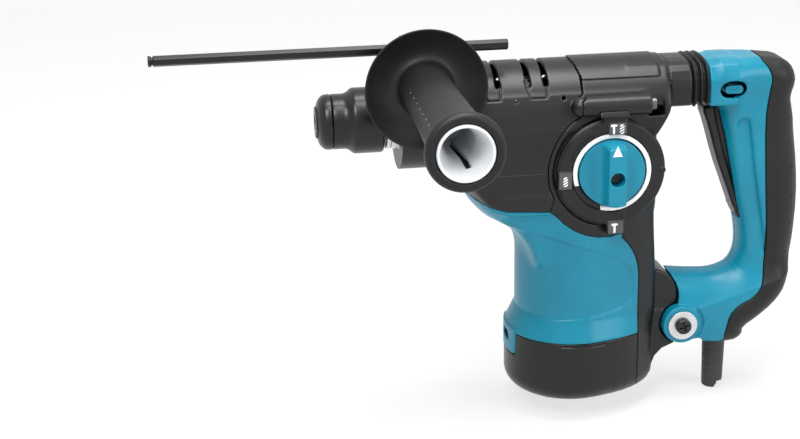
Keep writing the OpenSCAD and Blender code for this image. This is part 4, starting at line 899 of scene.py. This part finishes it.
def cross(u, v, arm, half):
    """The cross of a screw head."""
    a, b = abs(u), abs(v)
    return np.minimum(np.maximum(a - half, b - arm), np.maximum(b - half, a - arm))


def knob_screw_field(X, Y, Z):
    x, z = X - KNOB_X - SCREW_DX, Z - KNOB_Z - SCREW_DZ
    head = slab(dist(x, z) - 3.7, Y + 48.6, 1.4, 0.8)
    return cut(head, smax(cross(x, z, 2.2, 0.45), Y + 49.2, 0.2), 0.25)


def flat_mark(name, shapes, place, body):
    """White symbols laid on a face that looks to -Y: thin plates from outlines of (x, z) about a place."""
    verts, faces = [], []
    for pts in shapes:
        n, k = len(pts), len(verts)
        verts += [(place[0] + u, place[1], place[2] + v) for u, v in pts]
        verts += [(place[0] + u, place[1] + 0.25, place[2] + v) for u, v in pts]
        faces += [tuple(range(k, k + n)), tuple(range(k + 2 * n - 1, k + n - 1, -1))]
        faces += [(k + (i + 1) % n, k + i, k + n + i, k + n + (i + 1) % n) for i in range(n)]
    return settle(faceted(name, verts, faces, MARK), body)


HAMMER = [[(-2.3, 2.2), (-1.9, 3.0), (-0.4, 3.3), (1.8, 3.0), (2.4, 2.2), (1.6, 1.7), (0.7, 1.8), (0.7, -3.2),
    (-0.7, -3.2), (-0.7, 1.6), (-1.6, 1.4)]]
DRILL = [[(-1.5, 1.4), (-1.2, 2.6), (0.2, 3.2), (1.2, 2.7), (-0.4, 1.6)],
         [(-1.5, -0.6), (-1.5, 0.4), (1.5, 2.1), (1.5, 1.1)],
         [(-1.5, -2.4), (-1.5, -1.4), (1.5, 0.3), (1.5, -0.7)],
         [(-1.5, -3.3), (1.5, -1.5), (1.5, -2.3), (0.6, -3.3)]]


def shifted(shapes, du):
    return [[(u + du, v) for u, v in pts] for pts in shapes]


# ------------------------------------------------------------------ turned pieces
def lathe(name, profile, axis, centre, look, body, replaces=(), segs=96):
    """A closed profile of (distance along the axis, radius), turned round the X axis or round -Y."""
    p = np.asarray(profile, float)
    a = np.arange(segs) * 2 * math.pi / segs
    c, s = np.cos(a), np.sin(a)
    n = len(p)
    pts = np.zeros((n, segs, 3))
    if axis == "x":
        pts[..., 0] = p[:, :1]
        pts[..., 1] = centre[1] + p[:, 1:] * c
        pts[..., 2] = centre[2] + p[:, 1:] * s
    else:
        pts[..., 0] = centre[0] + p[:, 1:] * c
        pts[..., 1] = -p[:, :1]
        pts[..., 2] = centre[2] + p[:, 1:] * s
    idx = np.arange(n * segs).reshape(n, segs)
    nxt = np.roll(idx, -1, axis=1)
    quads = np.vstack([np.stack([idx[i], nxt[i], nxt[(i + 1) % n], idx[(i + 1) % n]], 1) for i in range(n)])
    pts = pts.reshape(-1, 3)
    # the faces look outwards: their tetrahedra to the middle have a positive volume in all
    a, b, c, d = np.moveaxis(pts[quads] - pts.mean(0), 1, 0)
    if (a * (np.cross(b, c) + np.cross(c, d))).sum() < 0:
        quads = quads[:, ::-1]
    return settle(new_object(name, pts, quads, look), body, replaces)


def fillet(profile, r=0.5, n=3):
    """Rounds the corners of a closed profile."""
    p = np.asarray(profile, float)
    out = []
    for i in range(len(p)):
        a, b, c = p[i - 1], p[i], p[(i + 1) % len(p)]
        la, lc = np.linalg.norm(a - b), np.linalg.norm(c - b)
        k = min(r, la * 0.45, lc * 0.45)
        s, e = b + (a - b) / la * k, b + (c - b) / lc * k
        for j in range(n + 1):
            t = j / n
            out.append((1 - t) ** 2 * s + 2 * t * (1 - t) * b + t * t * e)
    return out


# ------------------------------------------------------------------ springs
def spring(name, node, axis, wire, turns):
    """The coil of a CAD spring again, made in the CAD spring's place."""
    lo, hi = (np.array(c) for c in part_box(node))
    i = "XYZ".index(axis)
    j, k = (i + 1) % 3, (i + 2) % 3
    mid, w, sides = (lo + hi) / 2, wire / 2 * MM, 10
    mean = min(hi[j] - lo[j], hi[k] - lo[k]) / 2 - w
    verts, steps = [], 24 * turns
    for n in range(steps + 1):
        turn = 2 * math.pi * n / 24
        for m in range(sides):
            a = 2 * math.pi * m / sides
            r = mean + w * math.cos(a)
            p = [0.0, 0.0, 0.0]
            p[i] = lo[i] + w + (hi[i] - lo[i] - 2 * w) * n / steps + w * math.sin(a)
            p[j], p[k] = mid[j] + r * math.cos(turn), mid[k] + r * math.sin(turn)
            verts.append(p)
    faces = [(n + m, n + sides + m, n + sides + (m + 1) % sides, n + (m + 1) % sides)
             for n in range(0, steps * sides, sides) for m in range(sides)]
    faces += [tuple(range(sides)), tuple(range(len(verts) - 1, len(verts) - 1 - sides, -1))]
    ob = settle(faceted(name, verts, faces, SLOT_LOOK[NODE_SLOT[node]], unit=1), "", (node,))
    ob.data.polygons.foreach_set("use_smooth", [len(f) == 4 for f in faces])
    start, end = mid.copy(), mid.copy()
    start[i], end[i] = lo[i], hi[i]
    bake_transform(ob)


# ------------------------------------------------------------------ the pieces in place
piece("front_shell", front_field, (82, -47, -62), (168.5, 47, 37), BLACK, "housing",
    ("front_housing",), 0.75)
piece("rear_shell", rear_field, (144, -47, -196), (260, 47, 37.5), BLACK, "housing",
    ("rear_housing",), 0.85)
piece("motor_shell", motor_field, (90, -47, -169), (213, 47, -38), TEAL, "housing",
    ("motor_housing",), 0.85)
piece("base_shell", base_field, (122, -47, -197), (213, 47, -148), SMOOTH_BLACK, "housing",
    ("base_cover",), 0.8)
piece("handle_near_half", handle_half(-1), (227, -26, -172), (327, 2, 34), TEAL, "handle",
    ("handle_shell_left",), 0.8)
piece("handle_far_half", handle_half(1), (227, -2, -172), (327, 26, 34), TEAL, "handle",
    ("handle_shell_right",), 0.8)
piece("grip_skin", skin_field, (262, -23, -172), (329, 23, 34), RUBBER, "handle",
    ("grip_cover",), 0.8)
piece("trigger_lever", trigger_field, (253, -15, -82), (290, 15, 3), BLACK, "trigger",
    ("trigger",), 0.6)
piece("lock_stud", lock_field, (264, -22, 7), (282, -11, 18), TEAL, "lock_button",
    ("lock_button",), 0.35)
ribs = piece("bellows_ribs", bellows_field, (243, -28, -1), (257, 28, 36), RUBBER, "",
    ("bellows",), 0.6)
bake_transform(ribs)
piece("selector_bezel", bezel_field, (148, -48, -78), (224, -33, 16), BLACK, "housing",
    ("mode_bezel",), 0.55)
piece("selector_arc", arc_field, (158, -43, -61), (215, -39, -4), MARK, "housing",
    ("mode_ring",), 0.5)
piece("selector_knob", knob_field, (163, -58, -56), (210, -37, -9), TEAL, "mode_knob",
    ("mode_knob",), 0.5)
piece("selector_screw", knob_screw_field, (182, -51, -39), (192, -46.5, -28), BLACK_STEEL,
    "mode_knob", ("mode_knob_screw",), 0.3)
piece("selector_labels", label_field, (148, -44, -77), (196, -41, 6), LABEL, "housing", (), 0.4)
Y_LABEL = -43.12
flat_mark("both_mark", shifted(HAMMER, -2.65) + shifted(DRILL, 2.65), (KNOB_X + 2.95, Y_LABEL, KNOB_Z + 29),
    "housing")
flat_mark("drill_mark", DRILL, (KNOB_X - 30.7, Y_LABEL, KNOB_Z - 4.2), "housing")
flat_mark("hammer_mark", HAMMER, (KNOB_X + 2.2, Y_LABEL, KNOB_Z - 37.6), "housing")
POINTER = (KNOB_X - 0.35, KNOB_Y - BAR_H - 0.1, KNOB_Z + 18.1)
flat_mark("pointer_mark", [[(-3.1, -3.6), (3.1, -3.6), (0, 3.6)]], POINTER, "mode_knob")

spring("sleeve_coil", "chuck_spring", "X", 1.3, 4)
spring("trigger_coil", "trigger_spring", "X", 0.9, 4)
spring("lock_coil", "lock_button_spring", "Y", 0.6, 3)
spring("handle_coil", "handle_spring", "X", 1.8, 3)


# ------------------------------------------------------------------ side handle
GRIP_X, GRIP_Z, END_D = 67.2, 28.0, 182.7
FLANGE_LINE = [(31.6, 5), (31.6, 15), (34.6, 27), (38.2, 37.2), (40.2, 38.8), (41.6, 39), (42, 38.3),
    (41.2, 37.2), (38.2, 33.5), (35.4, 28), (34.2, 23.5), (34.4, 20.2), (36.2, 17.6), (40, 16.4), (46, 16.0)]
TUBE_LINE = [(82, 16.1), (127, 17), (158, 18), (166, 18.9), (171, 20.3), (174.6, 22), (177.4, 22.9),
    (180, 22.8), (182, 21.6), (182.7, 19.8), (182.6, 18), (181.9, 16.9), (176, 16.6), (160, 12.1), (33.4, 12.1),
    (33.4, 5)]


def refine(pts, longest):
    """A closed profile with no side longer than given."""
    out = []
    for a, b in zip(np.asarray(pts, float), np.roll(np.asarray(pts, float), -1, axis=0)):
        n = max(1, int(math.ceil(np.linalg.norm(b - a) / longest)))
        out += [a + (b - a) * i / n for i in range(n)]
    return out


def fold_flange(ob):
    """The flange is folded along a line on each side: what lies below the line stands further back."""
    me = ob.data
    co = np.empty(len(me.vertices) * 3, np.float32)
    me.vertices.foreach_get("co", co)
    co = co.reshape(-1, 3)
    x, z = co[:, 0] / MM - GRIP_X, co[:, 2] / MM - GRIP_Z
    r = np.hypot(x, z)
    near = (-co[:, 1] / MM < 47).astype(float)
    co[:, 1] += MM * near * np.clip(0.21 * abs(x) - z, 0, 14) * 0.09 * ease(r, 20, 30)
    me.vertices.foreach_set("co", co.ravel())
    me.update()


grip_profile = refine(smooth_line(FLANGE_LINE + TUBE_LINE, 2), 2.0)
side_sleeve = lathe("side_grip_sleeve", grip_profile, "y", (GRIP_X, 0, GRIP_Z), RUBBER,
    "side_grip", ("side_grip",), 200)
fold_flange(side_sleeve)
CORE_BORE = [(122.9, 8.1), (158.7, 9.6), (182.2, 14.6)]
CORE_LINE = [(33.6, 4.1), (33.6, 11.9), (159.8, 11.9), (175.6, 16.3), (182.4, 16.4), (183, 15.9), (183, 15.1)]
CORE_LINE += CORE_BORE[::-1] + [(122.5, 7.6), (122.5, 4.1)]


def slot_middle(d, axis=0.0):
    """The slot leans over along the grip: its middle at the distance d from the spindle."""
    return axis - 0.9 + (d - 122.7) * 0.093


def core_field(X, Y, Z):
    d, r = -Y, dist(X - GRIP_X, Z - GRIP_Z)
    body = poly(CORE_LINE, d, r) - 0.05
    slot = smax(smax(abs(X - slot_middle(d, GRIP_X)) - 1.75, abs(d - 147) - 23.5, 0.6), Z - GRIP_Z + 2, 0.3)
    return cut(body, slot, 0.4)


piece("side_grip_liner", core_field, (50, -184, 11), (84.4, -33, 45), WHITE, "side_grip",
    ("side_grip_core",), 0.5)


# ------------------------------------------------------------------ chuck
NOSE_LINE = [(0, 7.7), (0, 9.9), (0.4, 10.4), (1.3, 10.6), (1.5, 12.6), (2.6, 14.9), (4.2, 16.7), (5.8, 17.6),
    (7.4, 17.9), (9.9, 17.9), (10.1, 17.5), (10.1, 10.2), (2.5, 10.2), (2.5, 7.7)]
COVER_LINE = [(10.6, 12.1), (10.6, 17.3), (10.9, 17.9), (16.8, 17.9)] + arc(17.4, 24.9, 7, -90, -45, 8)[1:]
COVER_LINE += [(23.6, 21.0), (25, 21.4), (41.6, 21.4), (42.7, 20.9), (43, 20.2), (43, 19.95), (27, 19.95),
    (23, 16.3), (14.1, 16.3), (14.1, 12.1)]
COLLAR_LINE = [(44.6, 14.6), (44.6, 18.9), (45.1, 19.45), (47.6, 19.45), (47.9, 19.1), (48.3, 19.1),
    (48.6, 19.45), (52.9, 19.45), (53.1, 20.45), (93.9, 20.45), (94, 30.4), (97.9, 30.4), (97.9, 17.6),
    (56, 17.6), (56, 14.6)]


def nose_field(X, Y, Z):
    r = dist(Y, Z)
    body = poly(NOSE_LINE, X, r) - 0.05
    turn = np.arctan2(Z, Y)
    notch = smax(abs(np.sin(turn * 4)) * r / 4 - 0.35, abs(r - 10.4) - 1.4, 0.2)
    return cut(body, smax(notch, X - 0.9, 0.2), 0.2)


piece("nose_cap", nose_field, (-0.6, -18.6, -18.6), (10.6, 18.6, 18.6), SMOOTH_BLACK, "spindle",
    ("dust_cap",), 0.45)
lathe("chuck_sleeve", fillet(refine(COVER_LINE, 4), 0.3, 2), "x", (0, 0, 0), SMOOTH_BLACK,
    "chuck_cover", ("chuck_cover",), 160)
lathe("barrel_ring", fillet(COLLAR_LINE, 0.2, 2), "x", (0, 0, 0), BRIGHT, "housing",
    ("barrel_collar",), 160)


# ------------------------------------------------------------------ small hardware
def rod_field(X, Y, Z):
    y, z = Y + 15.7, Z - 49.2
    hexagon = np.maximum(abs(y), np.maximum(abs(0.5 * y + 0.866 * z), abs(0.5 * y - 0.866 * z)))
    body = slab(hexagon - 3.1, X - 9.8, 113.5, 0.35)
    groove = smax(abs(X + 101.0) - 0.5, 2.55 - dist(y, z), 0.2)
    return cut(body, groove, 0.3)


piece("stop_rod", rod_field, (-104.4, -19.8, 45), (124, -11.6, 53.4), SMOOTH_BLACK, "depth_rod",
    ("depth_rod",), 0.42)


def pivot_head_field(X, Y, Z):
    x, z = X - PIVOT_X, Z - PIVOT_Z
    r = dist(x, z)
    head = slab(r - 5.35, Y + 25.2, 1.75, 1.4)
    recess = smax(cross(x * 0.94 + z * 0.34, z * 0.94 - x * 0.34, 3.5, 0.62), Y + 24.9, 0.3)
    shaft = slab(r - 3.95, Y - 2.0, 25.5, 0.4)
    return smin(cut(head, recess, 0.3), shaft, 0.3)


piece("pivot_screw", pivot_head_field, (236, -28, -158), (252, 29, -142.6), BLACK_STEEL,
    "housing", ("pivot_bolt",), 0.42)
for tag, y0, y1 in (("near", 22.12, 23.5), ("far", -23.5, -22.12)):
    lathe("pivot_washer_" + tag, fillet([(y0, 4.1), (y0, 10.1), (y1, 10.1), (y1, 5.8), (y1, 4.1)], 0.3), "y",
        (PIVOT_X, 0, PIVOT_Z), BRIGHT, "housing", ("pivot_washers",) if tag == "near" else ())


def guard_field(X, Y, Z):
    r = dist(X - CORD_X, Y)
    wide = np.interp(Z, [-206, -205, -167.5, -155], [6.7, 7.1, 7.9, 7.9])
    tube = smax(slab(r - wide, Z + 180.5, 25.5, 0.4), 3.8 - r, 0.3)
    tube = smin(tube, smax(slab(r - 10.5, Z + 153, 1.9, 0.3), 3.8 - r, 0.3), 0.2)
    # worn end: a bite out of the rear and a torn step in front
    bite = dist(X - CORD_X - 3.4, Z + 206.5) - 3.9
    step = block(X, Y, Z, (CORD_X + 1.2, -12, -207), (CORD_X + 12, 0, -201.5), 0.4)
    ribs = smax(abs(((Z + 172) / 5.2 + 0.5) % 1 - 0.5) * 5.2 - 0.28, wide - 0.3 - r, 0.15)
    tube = cut(tube, smax(ribs, abs(Z + 185) - 12, 0.2), 0.2)
    return cut(cut(tube, bite, 0.4), step, 0.4)


piece("cord_sleeve", guard_field, (262, -11, -207), (285, 11, -150.4), GUARD, "handle",
    ("cord_guard",), 0.5)
piece("grip_pips", pip_field, (303, -20, -108), (321, 20, -2), SMOOTH_BLACK, "handle", (), 0.4)


# ------------------------------------------------------------------ image points, in the 800 x 439 frame
IMAGE_POINTS = {"knob": (613.3, 173.0), "knob_screw": (617.0, 178.1), "pivot": (683.0, 325.8),
    "lock_button": (735.5, 90.5), "grip_end": (466.8, 154.5), "front_hole": (515.6, 101.2),
    "rear_hole": (563.4, 98.1), "triangle": (618.0, 151.5), "cord_end": (705.0, 388.0),
    "pip_first": (410.7, 93.0), "pip_last": (429.2, 125.0), "dash_first": (460.0, 88.0),
    "dash_last": (473.5, 110.6), "slot_top": (447.0, 137.0), "slot_end": (469.0, 167.0)}
MODEL_POINTS = {"knob": (KNOB_X, KNOB_Y - 0.3, KNOB_Z),
    "knob_screw": (KNOB_X + SCREW_DX, -50.0, KNOB_Z + SCREW_DZ),
    "pivot": (PIVOT_X, -23.5, PIVOT_Z), "lock_button": (273.0, -20.8, 12.5),
    "grip_end": (GRIP_X, -END_D, GRIP_Z), "front_hole": (FRONT_HOLES[0][0], -31.5, FRONT_HOLES[0][1]),
    "rear_hole": (FRONT_HOLES[1][0], -31.5, FRONT_HOLES[1][1]), "triangle": POINTER,
    "cord_end": (CORD_X - 4.5, -5.0, -206.0)}


def camera_ray(x, y):
    v = Vector((x - W / 2 + SHIFT_X * L, H / 2 - y + SHIFT_Y * L, -L * LENS / SENSOR_WIDTH))
    return CAM.translation.copy(), (CAM.to_3x3() @ v).normalized()


def tree_of(ob):
    me = ob.data
    return BVHTree.FromPolygons([v.co.copy() for v in me.vertices], [tuple(p.vertices) for p in me.polygons])


def on_surface(point, tree):
    """Where an image point's ray meets a carrier, with the normal there; a miss takes the nearest point."""
    origin, way = camera_ray(*point)
    hit, normal, _, _ = tree.ray_cast(origin, way)
    if hit is None:
        hit, normal, _, _ = tree.find_nearest(origin + way * CAM_DISTANCE)
    return hit, normal


def studs(name, spots, across, along, height, look, body):
    """Low domes on a surface; each spot is (place, normal), stretched along -Y."""
    verts, faces = [], []
    rings, segs, sink = 4, 12, 0.12
    for place, normal in spots:
        w = normal.normalized()
        u = (Vector((0, -1, 0)) - w * w.dot(Vector((0, -1, 0)))).normalized()
        v = w.cross(u)
        k = len(verts)
        for i in range(rings):
            t = math.pi / 2 * i / rings
            for j in range(segs):
                a = 2 * math.pi * j / segs
                q = u * (along * math.cos(t) * math.cos(a)) + v * (across * math.cos(t) * math.sin(a))
                verts.append(place / MM + q + w * (height * math.sin(t) - sink))
        top = len(verts)
        verts.append(place / MM + w * (height - sink))
        turn = [(j, (j + 1) % segs) for j in range(segs)]
        faces += [(i + j, i + n, i + segs + n, i + segs + j)
                  for i in range(k, top - segs, segs) for j, n in turn]
        faces += [(top - segs + j, top - segs + n, top) for j, n in turn]
        faces.append(tuple(range(k + segs - 1, k - 1, -1)))
    settle(faceted(name, verts, faces, look, smooth=True), body)


def row(first, last, n, tree):
    """Spots spread evenly between two image points."""
    a, b = Vector(IMAGE_POINTS[first]), Vector(IMAGE_POINTS[last])
    return [on_surface(a.lerp(b, i / (n - 1)), tree) for i in range(n)]


sleeve_tree = tree_of(side_sleeve)
pips = row("pip_first", "pip_last", 7, sleeve_tree)
dashes = row("dash_first", "dash_last", 7, sleeve_tree)
studs("sleeve_pips", pips, 0.55, 0.55, 0.42, PIP, "side_grip")
studs("sleeve_dashes", dashes, 0.4, 1.2, 0.2, INK, "side_grip")
for name, spots in (("pip", pips), ("dash", dashes)):
    MODEL_POINTS[name + "_first"], MODEL_POINTS[name + "_last"] = (
        tuple(c / MM for c in spot[0]) for spot in (spots[0], spots[-1]))
for name, d in (("slot_top", 123.5), ("slot_end", 170.0)):
    depth, off = float(np.interp(d, *zip(*CORE_BORE))), slot_middle(d)
    MODEL_POINTS[name] = (GRIP_X + off, -d, GRIP_Z - math.sqrt(depth ** 2 - off ** 2))


def write_points():
    seen, k = [], L * LENS / SENSOR_WIDTH
    for ob in SHOWN + [o for node, o in frame["nodes"].items() if node not in REPLACED]:
        co = np.empty(len(ob.data.vertices) * 3, np.float32)
        ob.data.vertices.foreach_get("co", co)
        m = np.array(CAM.inverted() @ ob.matrix_world)
        v = co.reshape(-1, 3) @ m[:3, :3].T + m[:3, 3]
        seen.append(np.stack([W / 2 - v[:, 0] / v[:, 2] * k, H / 2 + v[:, 1] / v[:, 2] * k], 1))
    seen = np.vstack(seen)


write_points()
